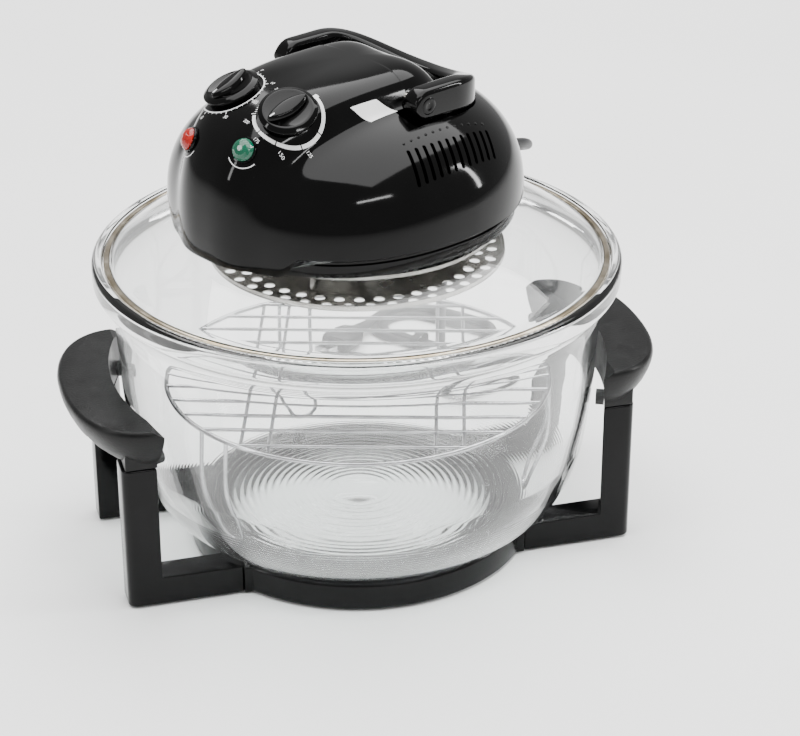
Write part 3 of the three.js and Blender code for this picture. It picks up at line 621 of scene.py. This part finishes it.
def relief_piece():
    """Tapered strain relief with moulded ribs, out of the tray's rear."""
    profile = [(0.0, -0.1)]
    ribs = 7
    for k in range(ribs):
        x = 0.2 + k * (RELIEF_L - 1) / ribs
        r = 5.6 - 1.2 * x / RELIEF_L
        profile += [(r, x), (r, x + 2.0), (r - 0.9, x + 2.3), (r - 0.9, x + 3.3)]
    profile += [(4.4, RELIEF_L - 0.8), (3.7, RELIEF_L), (0.0, RELIEF_L)]
    turn = Matrix.Translation((-RELIEF_X, 0, OUTLET_Z)) @ Matrix.Rotation(-math.pi / 2, 4, "Y")
    made = mesh_object("cord_relief", *lathe(profile, 40), SHEATH, 30, HEAD @ turn)
    return settle(made, "lid", "cord_black", "strain_relief")


def tie_piece():
    """Soft band round one run of the hank."""
    place = Matrix.Translation(HANK_CENTRE) @ Matrix.Rotation(HANK_TURN, 4, "Z")
    middle = Vector((0, 24.7, 5.9))
    outline = ((-3, -0.2), (3, -0.2), (3, 0.6), (-3, 0.6))
    sections = []
    for y, z in oval(8.3, 5.6, 2.6, 32):
        out = Vector((0, y, z))
        sections.append([middle + out + Vector((x, 0, 0)) + out.normalized() * h for x, h in outline])
    made = mesh_object("hank_band", *rings(sections, closed=True), GRAINED, 40, place)
    return settle(made, "lid", "black_satin", "cord_tie")


lead, lead_exit, lead_length = mains_lead()
plug_parts = plug_piece()
band_round_hank = tie_piece()
relief_piece()


# ---- Stand ---------------------------------------------------------------------------------


def base_ring():
    profile = [
        *arc(RING_INNER + 2, RING_FOOT + 2, 2, 180, 270, 4),
        *arc(RING_OUTER - 2, RING_FOOT + 2, 2, 270, 360, 4),
        *arc(RING_OUTER - 3, RING_TOP - 3, 3, 0, 90, 6), *arc(RING_INNER + 2, RING_TOP - 2, 2, 90, 180, 4),
    ]
    ring = mesh_object("stand_ring", *lathe(profile, 180, closed=True), STAND_BLACK, 40)
    settle(ring, "base", "black_gloss", "base_ring")
    for sx in (-1, 1):
        for sy in (-1, 1):
            x = sorted((sx * 80, sx * 92.2))
            y = sorted((sy * (LEG_IN - 1.4), sy * (LEG_FACE + 1.4)))
            part = box_part((x[0], y[0], RING_FOOT), (x[1], y[1], RING_TOP - 0.6))
            made = mesh_object(f"ring_socket_{'lr'[sx > 0]}{'fb'[sy > 0]}", *part, STAND_BLACK)
            settle(bevel(made, 1.0), "base", "black_gloss")


def leg(name, node, sx, sy):
    """Moulded foot bar and upright in one, its inner edge on the bowl's clearance circle."""
    def outline(y):
        inner = math.sqrt(STAND_BORE ** 2 - y ** 2)
        return [(92.4, RING_FOOT), (LEG_OUTER, RING_FOOT), (LEG_OUTER, LEG_TOP), (inner, LEG_TOP),
                (inner, BAR_TOP), (92.4, BAR_TOP)]
    sections = [[(x, y, z) for x, z in outline(y)] for y in (LEG_IN, LEG_FACE)]
    made = mesh_object(name, *rings(sections), STAND_BLACK, 30, Matrix.Diagonal((sx, sy, 1, 1)))
    work = bmesh.new()
    work.from_mesh(made.data)
    tip = Vector((LEG_OUTER, LEG_FACE)) * MM
    corner = [e for e in work.edges
              if all((Vector((abs(v.co.x), abs(v.co.y))) - tip).length < 1e-5 for v in e.verts)]
    bmesh.ops.bevel(work, geom=corner, offset=6 * MM, segments=8, affect="EDGES", profile=0.5)
    work.to_mesh(made.data)
    work.free()
    settle(bevel(made, 1.1), "base", "black_gloss", node)


def handle(name, node, sx):
    """Broad grained grip whose underside curves in to the legs."""
    def outline(reach, half, z, n=2.25, count=96):
        return [(HANDLE_ROOT + w, h, z) for w, h in oval(reach - HANDLE_ROOT, half, n, count)]
    levels = [
        (169.5, HANDLE_HALF - 12.5, 0), (172, HANDLE_HALF - 10.6, 1.6), (177, HANDLE_HALF - 8, 4.6),
        (182.5, HANDLE_HALF - 5, 9), (186, HANDLE_HALF - 2.9, 13.4), (188.6, HANDLE_HALF - 1.3, 18.4),
        (190, HANDLE_HALF - 0.4, 22), (HANDLE_REACH, HANDLE_HALF, 25.2), (190.2, HANDLE_HALF - 0.2, 27),
        (189.3, HANDLE_HALF - 0.9, 28.4), (187.8, HANDLE_HALF - 2.1, 29.2),
    ]
    grip = mesh_object(name, *rings([outline(r, h, HANDLE_LOW + z) for r, h, z in levels]), GRAINED)
    tools = []
    for sy in (-1, 1):
        y = sorted((sy * LEG_IN, sy * LEG_FACE))
        block = box_part((136, y[0], HANDLE_LOW), (163, y[1], HANDLE_TOP - 0.4))
        tools.append(bevel(mesh_object("shoulder", *block, GRAINED), 1.2))
    boolean(grip, tools, "UNION")
    bore = lathe([(0, 90), (STAND_BORE, 90), (STAND_BORE, 135), (0, 135)], 240)
    bore = mesh_object("bore", *bore, GRAINED)
    slope = Matrix.Translation((138.5, 0, 133.4)) @ Matrix.Rotation(-0.56, 4, "Y")
    wedge = mesh_object("wedge", *box_part((-12, -100, -10), (12, 100, 10)), GRAINED, 35, slope)
    hollow = mesh_object("hollow", *box_part((163, -44, 90), (181, 44, HANDLE_TOP - 5)), GRAINED)
    boolean(grip, [bore, wedge, bevel(hollow, 3)], angle=30)
    if sx < 0:
        grip.data.transform(Matrix.Diagonal((-1, 1, 1, 1)))
        grip.data.flip_normals()
    settle(grip, "base", "black_satin", node)


base_ring()
for leg_node, leg_x, leg_y in (("leg_front_left", -1, -1), ("leg_front_right", 1, -1),
                               ("leg_rear_left", -1, 1), ("leg_rear_right", 1, 1)):
    leg(f"{leg_node}_piece", leg_node, leg_x, leg_y)
handle("grip_left", "handle_left", -1)
handle("grip_right", "handle_right", 1)


# ---- Bowl, rack and lid ------------------------------------------------------------------------


def bowl():
    low = RING_TOP + 0.3
    outer = bezier((97, low + 1.5), (124, low + 2), (139, low + 22), (145.5, low + 55), 22)
    inner = bezier((140.5, low + 56), (134.5, low + 27), (121, low + 8), (95, low + 6.5), 132)
    ridged = []
    for k, (r, z) in enumerate(inner):
        ridged.append((r, z + (0.16 * math.sin(k * TAU / 4) if 30 < k < 132 else 0)))
    floor = [(95 - i, low + 6.5 - 0.3 * i / 79 + 0.28 * math.sin(i * TAU / 4.5)) for i in range(1, 79)]
    profile = [
        (0, low), (60, low), (94, low + 0.4), *outer,
        (149.5, low + 85), (151, 125), (152, 145), (152.8, 162),
        *bezier((153.4, 170), (154.4, 176.5), (157, 180.5), (161.2, 182.2), 8),
        *arc(LIP_R - 4.4, 187, 4.4, -60, 0, 5), *arc(LIP_R - 3.4, LIP_TOP - 3.4, 3.4, 0, 90, 8),
        *arc(159.6, LIP_TOP - 1.3, 1.2, 90, 180, 4), (158.3, 193.6), (157.3, 192.6), (150.9, 192.6),
        (149.2, 190), (147.6, 172), (147.3, 150), (146, 125), (144.8, low + 85), *ridged, *floor,
        (15, low + 7.2), (0, low + 7.4),
    ]
    made = mesh_object("bowl_piece", *lathe(profile, 192), BOWL_GLASS, 50)
    settle(made, "bowl", "clear_glass", "glass_bowl")


def rack():
    turn = Matrix.Rotation(math.radians(RACK_TURN), 4, "Z")
    bearings = [TAU * i / 120 for i in range(120)]
    circle = [(RACK_R * math.cos(a), RACK_R * math.sin(a), RACK_Z) for a in bearings]
    rim = tube(circle, 1.5, 12, closed=True)
    parts = [rim]
    for i in range(-5, 6):
        y = i * RACK_PITCH
        x = math.sqrt((RACK_R - 0.6) ** 2 - y ** 2)
        parts.append(tube([turn @ Vector((-x, y, RACK_Z + 0.6)), turn @ Vector((x, y, RACK_Z + 0.6))], 1.2))
    for x in (-67, -50, 50, 67):
        y = math.sqrt((RACK_R - 0.6) ** 2 - x ** 2)
        parts.append(tube([turn @ Vector((x, -y, RACK_Z - 1.2)), turn @ Vector((x, y, RACK_Z - 1.2))], 1.2))
    foot_r, foot_z, half = 108.5, RING_TOP + 11.7, 11
    for bearing in (-151, -18, 96):
        spin = Matrix.Rotation(math.radians(bearing), 4, "Z")
        side = [(RACK_R - 0.8, half, RACK_Z), (RACK_R, half, RACK_Z - 36),
                (foot_r + 3, half, foot_z + 12), (foot_r, half - 5, foot_z)]
        path = [*[(x, -y, z) for x, y, z in side], *side[::-1]]
        parts.append(tube(curve_through([spin @ Vector(p) for p in path], 10), 1.3))
    made = mesh_object("rack_piece", *gather(*parts), WIRE, 50)
    settle(made, "rack", "chrome_wire", "wire_rack")


def lid():
    rim = BAND_INNER - 0.3
    rise = LID_CROWN - BAND_LOW - 5

    def crown(r):
        return BAND_LOW + 5 + rise * (1 - power(max(0.0, r - LID_HOLE) / (rim - LID_HOLE), 1.75))
    radii = [rim - 0.8 - (rim - 0.8 - LID_HOLE) * (i / 30) for i in range(31)]
    top = [(r, crown(r)) for r in radii]
    under = [(r - 1.2 * min(1, max(0, (r - 92) / 12)), crown(r) - 4) for r in reversed(radii)]
    profile = [(rim, BAND_LOW + 0.5), (rim, crown(rim - 1) - 1), *top, *under, (rim - 1.4, BAND_LOW + 0.5)]
    made = mesh_object("lid_piece", *lathe(profile, 192, closed=True), LID_GLASS, 50)
    settle(made, "lid", "clear_glass", "lid_glass")
    band = [
        *arc(BAND_INNER + 0.7, BAND_LOW + 0.7, 0.7, 180, 270, 3),
        *arc(BAND_OUTER - 0.8, BAND_LOW + 0.8, 0.8, 270, 360, 3),
        *arc(BAND_OUTER - 1.4, LIP_TOP - 1.4, 1.4, 0, 90, 6),
        *arc(BAND_INNER + 1, LIP_TOP - 1, 1, 90, 180, 5),
    ]
    made = mesh_object("band_piece", *lathe(band, 192, closed=True), BAND_PAINTED_GOLD_REFLECTION, 50)
    settle(made, "lid", "polished_band", "lid_band")


bowl()
rack()
lid()


# ---- Heater and fan ------------------------------------------------------------------------------


def guard():
    """Perforated tray under the lamp: two staggered rows of round holes and an upturned rim."""
    data = bpy.data.curves.new("guard_plate", "CURVE")
    data.dimensions = "2D"
    data.fill_mode = "BOTH"
    data.extrude = 0.4 * MM

    def loop(radius, x=0.0, y=0.0, count=96):
        spline = data.splines.new("POLY")
        spline.points.add(count - 1)
        spline.use_cyclic_u = True
        for k, point in enumerate(spline.points):
            a = TAU * k / count
            point.co = ((x + radius * math.cos(a)) * MM, (y + radius * math.sin(a)) * MM, 0, 1)
    loop(GUARD_R - 1.5)
    for radius, offset, hole in ((84, 0, 3.3), (75.5, 0.5, 3.3), (34, 0.5, 2.4), (42, 0, 2.4)):
        many = 40 if radius > 60 else 20
        for i in range(many):
            a = TAU * (i + offset) / many
            loop(hole, radius * math.cos(a), radius * math.sin(a), 20)
    loop(24, count=64)
    flat = bpy.data.objects.new("guard_plate_curve", data)
    bpy.context.scene.collection.objects.link(flat)
    mesh = bpy.data.meshes.new_from_object(flat.evaluated_get(bpy.context.evaluated_depsgraph_get()))
    bpy.data.objects.remove(flat, do_unlink=True)
    mesh.transform(HEAD @ Matrix.Translation((0, 0, (GUARD_Z + 0.5) * MM)))
    mesh.materials.clear()
    mesh.materials.append(SHEET)
    plate = bpy.data.objects.new("guard_plate", mesh)
    bpy.context.scene.collection.objects.link(plate)
    settle(plate, "lid", "steel_sheet", "element_guard")
    rim = [
        (GUARD_R - 3, GUARD_Z + 0.2), *arc(GUARD_R - 2, GUARD_Z + 2, 2, 270, 360, 6),
        (GUARD_R, GUARD_Z + 4), (GUARD_R - 0.8, GUARD_Z + 4),
        *arc(GUARD_R - 2, GUARD_Z + 2, 1.2, 360, 270, 5), (GUARD_R - 3, GUARD_Z + 0.9),
    ]
    settle(mesh_object("guard_rim", *lathe(rim, 160, closed=True), SHEET, 40), "lid", "steel_sheet")


def heater():
    shield = [
        (9, SHIELD_Z), (40, SHIELD_Z), (42, SHIELD_Z + 0.5), (50, SHIELD_Z + 0.5), (52, SHIELD_Z),
        (85, SHIELD_Z),
        *arc(85.7, SHIELD_Z + 1.8, 1.8, 270, 360, 5), (87.5, SHIELD_Z + 3.4), (86.6, SHIELD_Z + 3.4),
        (86.4, SHIELD_Z + 1.6), (85, SHIELD_Z + 0.9), (9, SHIELD_Z + 0.9),
    ]
    plate = mesh_object("shield_piece", *lathe(shield, 120, closed=True), SHEET, 40)
    settle(plate, "lid", "steel_sheet", "heat_shield")
    half = math.pi - 0.175
    ring = [HEAD @ Vector((LAMP_R * math.cos(a), LAMP_R * math.sin(a), LAMP_Z))
            for a in (-half + 2 * half * i / 90 for i in range(91))]
    settle(mesh_object("lamp_tube", *tube(ring, 4.4, 20), QUARTZ, 50), "lid", "lamp_glass", "halogen_lamp")
    coil = []
    for i in range(1400):
        t = i / 1399
        a = -half + 0.08 + (2 * half - 0.16) * t
        w = TAU * 150 * t
        r = LAMP_R + 1.1 * math.cos(w)
        coil.append(HEAD @ Vector((r * math.cos(a), r * math.sin(a), LAMP_Z + 1.1 * math.sin(w))))
    settle(mesh_object("lamp_coil", *tube(coil, 0.22, 4), SHEET, 60), "lid", "steel_sheet")


def fan():
    """Six pressed blades on a hub, with rolled pitch, over a nut on the shaft."""
    parts = [lathe([(3.2, 200), (7, 200), (8, 201), (8, 207), (7, 208), (3.2, 208)], 40, closed=True)]
    for k in range(6):
        spin = Matrix.Rotation(TAU * k / 6, 4, "Z")
        sections = []
        for i in range(9):
            r = 6 + 38 * i / 8
            wide = 5 + 2.2 * math.sin(math.pi * min(1, i / 6)) if i < 8 else 4.4
            pitch = 0.75 - 0.3 * i / 8
            outline = []
            for u, lift in ((-1, 0.3), (0, 0.9), (1, 0.3), (1, -0.3), (0, 0.3), (-1, -0.3)):
                y, z = u * wide * math.cos(pitch), u * wide * math.sin(pitch) * 0.62 + lift
                outline.append(spin @ Vector((r, y, 204 + z)))
            sections.append(outline)
        parts.append(rings(sections))
    made = mesh_object("fan_wheel", *gather(*parts), SHEET, 35, HEAD)
    settle(made, "fan", "steel_sheet", "convection_fan")


guard()
heater()
fan()


# ---- Head ---------------------------------------------------------------------------------------


def vent_tools():
    parts = []
    for side in (-1, 1):
        for i in range(VENTS):
            flip = Vector((1, side, 1))
            top, foot = (Vector(a).lerp(Vector(b), i / (VENTS - 1)) * flip for a, b in (VENT_TOP, VENT_FOOT))
            along = (foot - top).normalized()
            out = Vector((1, 0, 0)).cross(along).normalized() * side
            across = along.cross(out)
            half = (foot - top).length / 2
            place = Matrix((across, along, out)).transposed().to_4x4()
            place.translation = (top + foot) / 2
            r = VENT_W / 2
            outline = [(math.cos(a) * r, math.copysign(half - r, math.sin(a + 1e-6)) + math.sin(a) * r)
                       for a in (TAU * k / 16 for k in range(16))]
            points, faces = rings([[(x, y, z) for x, y in outline] for z in (-3.2, 8)])
            parts.append(([place @ Vector(p) for p in points], faces))
    return gather(*parts)


def shell():
    made = mesh_object("shell_piece", *head_solid(240, 72, shell_edge), BLACK, 35)
    wells = []
    for side in (-1, 1):
        turn = Matrix.Translation((0, side * 58.5, PIVOT_Z)) @ Matrix.Rotation(math.pi / 2, 4, "X")
        well = lathe([(0, -8), (WELL_R, -8), (WELL_R, 8), (0, 8)], 72)
        wells.append(mesh_object("well", *well, BLACK, 35, turn))
    channel = mesh_object("channel", *bow(CHANNEL, 26), BLACK, 40)
    slots = mesh_object("slots", *vent_tools(), SLOT_DARK, 40)
    boolean(made, [channel, *wells, slots], angle=28)
    made.data.transform(HEAD)
    settle(made, "lid", "black_gloss", "head_shell")


def tray():
    """Lower half of the head with a rounded lip, and the collar that holds the lid glass."""
    turns = [TAU * i / 200 for i in range(200)]

    def level(inset, z):
        return [Vector((*(skin_point(t, 0, inset).xy), z)) for t in turns]
    deck = HEAD_FLOOR + 3.3
    profile = [
        (TRAY_WALL, HEAD_FLOOR), (1, HEAD_FLOOR + 0.4), (0.2, HEAD_FLOOR + 1.6), (0, HEAD_FLOOR + 3),
        (0, TRAY_TOP - 4.1), (1.2, TRAY_TOP - 3.3), (1.2, TRAY_TOP - 2.1), (0, TRAY_TOP - 1.3),
        (0, TRAY_TOP), (TRAY_WALL, TRAY_TOP), (TRAY_WALL, deck),
        (TRAY_HOLE - TRAY_INSET, deck), (TRAY_HOLE - TRAY_INSET, HEAD_FLOOR),
    ]
    wall = [level(TRAY_INSET + inset, z) for inset, z in profile]
    made = mesh_object("tray_piece", *rings(wall, closed=True), BLACK, 30, HEAD)
    settle(made, "lid", "black_gloss", "head_base")
    r = LID_HOLE - 0.6
    collar = [(r - 2.4, SHIELD_Z + 4.3), (r - 0.5, SHIELD_Z + 4.3), (r, SHIELD_Z + 4.9),
              (r, HEAD_FLOOR + 1), (r - 2.4, HEAD_FLOOR + 1)]
    settle(mesh_object("tray_collar", *lathe(collar, 160, closed=True), BLACK, 35), "lid", "black_gloss")


def knob(name, place):
    """Low dial with a flared skirt, a dished face and a lens-shaped grip across it."""
    seat = HEAD @ on_skin(place)
    r = KNOB_R
    body = f"{name}_dial"
    skirt = lathe([
        (0, -1.6), (r - 1.2, -1.6), (r - 0.8, 0.6), (r - 0.2, 1), *arc(r - 0.6, 1.7, 0.6, -40, 60, 5),
        (r - 1.8, 3.0), (r - 2.6, 3.6), (r - 3.4, 3.8), (r - 4.4, 3.4), (9, 2.6), (0, 2.4),
    ], 96)
    settle(mesh_object(f"{name}_skirt", *skirt, BLACK, 40, seat), body, "black_gloss", f"{name}_knob")
    levels = ((3.2, 6.2, 2.4), (3.3, 5.6, 4.4), (3.8, 4.8, 5.8), (4.8, 3.8, 6.5), (6.4, 2.6, KNOB_GRIP))
    sections = [[(x, y, z) for x, y in oval(r - short, wide, 1.75, 64)] for short, wide, z in levels]
    settle(mesh_object(f"{name}_grip", *rings(sections), BLACK, 40, seat), body, "black_gloss")
    pointer = rings([[(x + r - 6.6, y, z) for x, y in oval(1.8, 0.4, 4, 24)]
                     for z in (KNOB_GRIP - 0.1, KNOB_GRIP + 0.08)])
    settle(mesh_object(f"{name}_pointer", *pointer, PRINT, 40, seat), body, "white_ceramic")


def strip(seat, a0, a1, r0, r1, steps, lift=0.12):
    """Flat band of print on the skin, between two angles and two radii about a seat."""
    points, faces = [], []
    for i in range(steps + 1):
        a = math.radians(a0 + (a1 - a0) * i / steps)
        for r in (r0, r1):
            points.append(drop_to_skin(seat, r * math.cos(a), r * math.sin(a), lift))
    for i in range(steps):
        k = 2 * i
        faces.append((k, k + 2, k + 3, k + 1))
    return points, faces


def word(seat, text, size, radius, angle, turn=0.0):
    """A number printed on the skin, centred on a radius and angle about a seat."""
    data = bpy.data.curves.new("number", "FONT")
    data.body = text
    data.size = size
    data.align_x = "CENTER"
    data.align_y = "CENTER"
    flat = bpy.data.objects.new("number", data)
    bpy.context.scene.collection.objects.link(flat)
    mesh = bpy.data.meshes.new_from_object(flat.evaluated_get(bpy.context.evaluated_depsgraph_get()))
    bpy.data.objects.remove(flat, do_unlink=True)
    a, t = math.radians(angle), math.radians(turn)
    points = []
    for v in mesh.vertices:
        x, y = v.co.x * math.cos(t) - v.co.y * math.sin(t), v.co.x * math.sin(t) + v.co.y * math.cos(t)
        points.append(drop_to_skin(seat, radius * math.cos(a) + x, radius * math.sin(a) + y, 0.14))
    return points, [tuple(p.vertices) for p in mesh.polygons]


def scales():
    """Printed scales round the dials, and the arcs beside the lamps."""
    seat = on_skin(TIMER)
    parts = [strip(seat, -110, 180, 19.1, 19.9, 72)]
    for k in range(31):
        a = -110 + 290 * k / 30
        parts.append(strip(seat, a - 0.7, a + 0.7, 19.9, 20.7 if k % 5 else 21.8, 1))
    for k in range(7):
        parts.append(word(seat, str(10 * k), 3.1, 24.2, 180 - 290 * k / 6, 90))
    seat = on_skin(THERMOSTAT)
    for a0, a1 in ((-45, -6), (-4, 30), (32, 72), (74, 112), (114, 182)):
        parts.append(strip(seat, a0, a1, 19.1, 21.1, 20))
    parts.append(strip(seat, 178, 186, 18.9, 22.0, 4))
    for k in range(15):
        a = -115 + 66 * k / 14
        parts.append(strip(seat, a - 0.8, a + 0.8, 19.2, 20.4 if k % 7 else 22, 1))
    for k in range(6):
        parts.append(word(seat, str(125 + 25 * k), 3.0, 24.6, 80 - 38.4 * k, 90))
    for place, a0, a1 in ((POWER_LENS, -80, 20), (HEAT_LENS, -25, 85)):
        parts.append(strip(on_skin(place), a0, a1, 10.2, 10.8, 20))
    made = mesh_object("printed_scales", *gather(*parts), PRINT, 60, HEAD)
    settle(made, "lid", "white_ceramic")


def label():
    """Plain white sticker on the cap."""
    count = 10
    points, faces = [], []
    for i in range(count + 1):
        for j in range(count + 1):
            u, v = i / count, j / count
            a, b, c, d = (Vector(p) for p in LABEL)
            p = (a * (1 - u) + b * u) * (1 - v) + (d * (1 - u) + c * u) * v
            on = over_plan(p.x, p.y)
            points.append(on + (on - Vector((0, 0, HEAD_WAIST))).normalized() * 0.16)
    for i in range(count):
        for j in range(count):
            k = i * (count + 1) + j
            faces.append((k, k + 1, k + count + 2, k + count + 1))
    settle(mesh_object("blank_label", points, faces, PAPER, 60, HEAD), "lid", "white_ceramic")


def vent_dots():
    """Row of small raised dots above the air slots."""
    parts = []
    dome = [(0.9, -0.4), (0.85, 0.2), (0.5, 0.5), (0, 0.6)]
    for side in (-1, 1):
        for i in range(VENTS):
            top, foot = (Vector(a).lerp(Vector(b), i / (VENTS - 1)) for a, b in (VENT_TOP, VENT_FOOT))
            spot = top + (top - foot).normalized() * 3.6
            seat = on_skin((spot.x, side * spot.y))
            points, faces = lathe(dome, 16)
            parts.append(([seat @ Vector(p) for p in points], faces))
    settle(mesh_object("vent_dots", *gather(*parts), BLACK, 40, HEAD), "lid", "black_gloss")


def jewel(name, node, place, look, slot):
    """Faceted lens in a thin bezel."""
    seat = HEAD @ on_skin(place)
    count = 16
    sections = []
    for r, z, twist in ((6.7, 0.4, 0), (6.9, 1.6, 0.5), (5.9, 3.4, 0), (4.0, 4.9, 0.5), (1.6, 5.7, 0)):
        turns = [TAU * (k + twist) / count for k in range(count)]
        sections.append([(r * math.cos(a), r * math.sin(a), z) for a in turns])
    made = mesh_object(f"{name}_jewel", *rings(sections), look, 4, seat)
    settle(made, "lid", slot, node)
    bezel = lathe([(6.9, -0.8), (7.9, -0.8), (8.1, 0.2), (7.8, 0.9), (7.0, 1.0)], 64, closed=True)
    settle(mesh_object(f"{name}_bezel", *bezel, BLACK, 40, seat), "lid", "black_gloss")


def bail():
    made = mesh_object("bail_piece", *bow(0, 34), BLACK, 42, HEAD)
    settle(made, "bail", "black_gloss", "bail_handle")
    for side in (-1, 1):
        face = Matrix.Translation((0, side * (BAIL_L + BAIL_W / 2 - 0.5), PIVOT_Z))
        turn = HEAD @ face @ Matrix.Rotation(-side * math.pi / 2, 4, "X")
        cap = lathe([(0, 0), (5.2, 0), (5.2, 0.5), (4.6, 0.75), (2.4, 0.8), (2.0, 0.6), (0, 0.6)], 48)
        button = mesh_object(f"bail_cap_{'right' if side < 0 else 'left'}", *cap, BLACK, 35, turn)
        settle(button, "bail", "black_gloss")


shell()
tray()
knob("timer", TIMER)
knob("temperature", THERMOSTAT)
jewel("power", "power_lens", POWER_LENS, RED_LENS_PAINTED_GLOW, "red_lens")
jewel("heat", "heat_lens", HEAT_LENS, GREEN_LENS_PAINTED_GLOW, "green_lens")
scales()
label()
vent_dots()
bail()

# ---- CAD solids that show as they are -------------------------------------------------------------

KEPT = {
    "rubber_foot": RUBBER, "bowl_bumper": RUBBER, "guard_post": SHEET, "lamp_holder": CERAMIC,
    "motor_shaft": SHEET, "cooling_fan": SHEET, "motor": SHEET, "timer_mechanism": SHEET,
    "thermostat": SHEET, "bail_pin": SHEET, "switch_plunger": GRAINED, "safety_switch": CERAMIC,
}
for node_name, node_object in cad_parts.items():
    for start, look in KEPT.items():
        if node_name.startswith(start):
            node_object.data.materials.clear()
            node_object.data.materials.append(look)
            break

# ---- Floor and light --------------------------------------------------------------------------------

floor_look = material("pale_floor", (0.86, 0.86, 0.855), (0.88, 0.88, 0.875), (0.6, 0.75), scale=3)
floor_mesh = bpy.data.meshes.new("floor")
floor_mesh.from_pydata([(-6, -4, 0), (6, -4, 0), (6, 9, 0), (-6, 9, 0)], [], [(0, 1, 2, 3)])
floor_mesh.materials.append(floor_look)
floor = bpy.data.objects.new("floor", floor_mesh)
bpy.context.scene.collection.objects.link(floor)

world = bpy.data.worlds.new("studio")
world.use_nodes = True
world.node_tree.nodes["Background"].inputs["Color"].default_value = (1, 1, 1, 1)
world.node_tree.nodes["Background"].inputs["Strength"].default_value = 0.6
bpy.context.scene.world = world


def softbox(name, place, target, width, height, strength):
    data = bpy.data.lights.new(name, "AREA")
    data.shape = "RECTANGLE"
    data.size = width
    data.size_y = height
    data.energy = strength
    made = bpy.data.objects.new(name, data)
    made.location = place
    made.rotation_euler = (Vector(target) - Vector(place)).to_track_quat("-Z", "Y").to_euler()
    bpy.context.scene.collection.objects.link(made)


softbox("ceiling", (0.2, 0.6, 3.0), (0, 0.3, 0), 4.0, 4.0, 330)
softbox("strip_right", (1.9, -0.5, 1.0), (0, 0, 0.2), 0.12, 1.1, 22)
softbox("strip_front", (0.5, -1.9, 1.7), (0, 0, 0.25), 1.0, 0.1, 12)
softbox("strip_left", (-1.9, -0.3, 1.1), (0, 0, 0.2), 0.16, 1.2, 10)
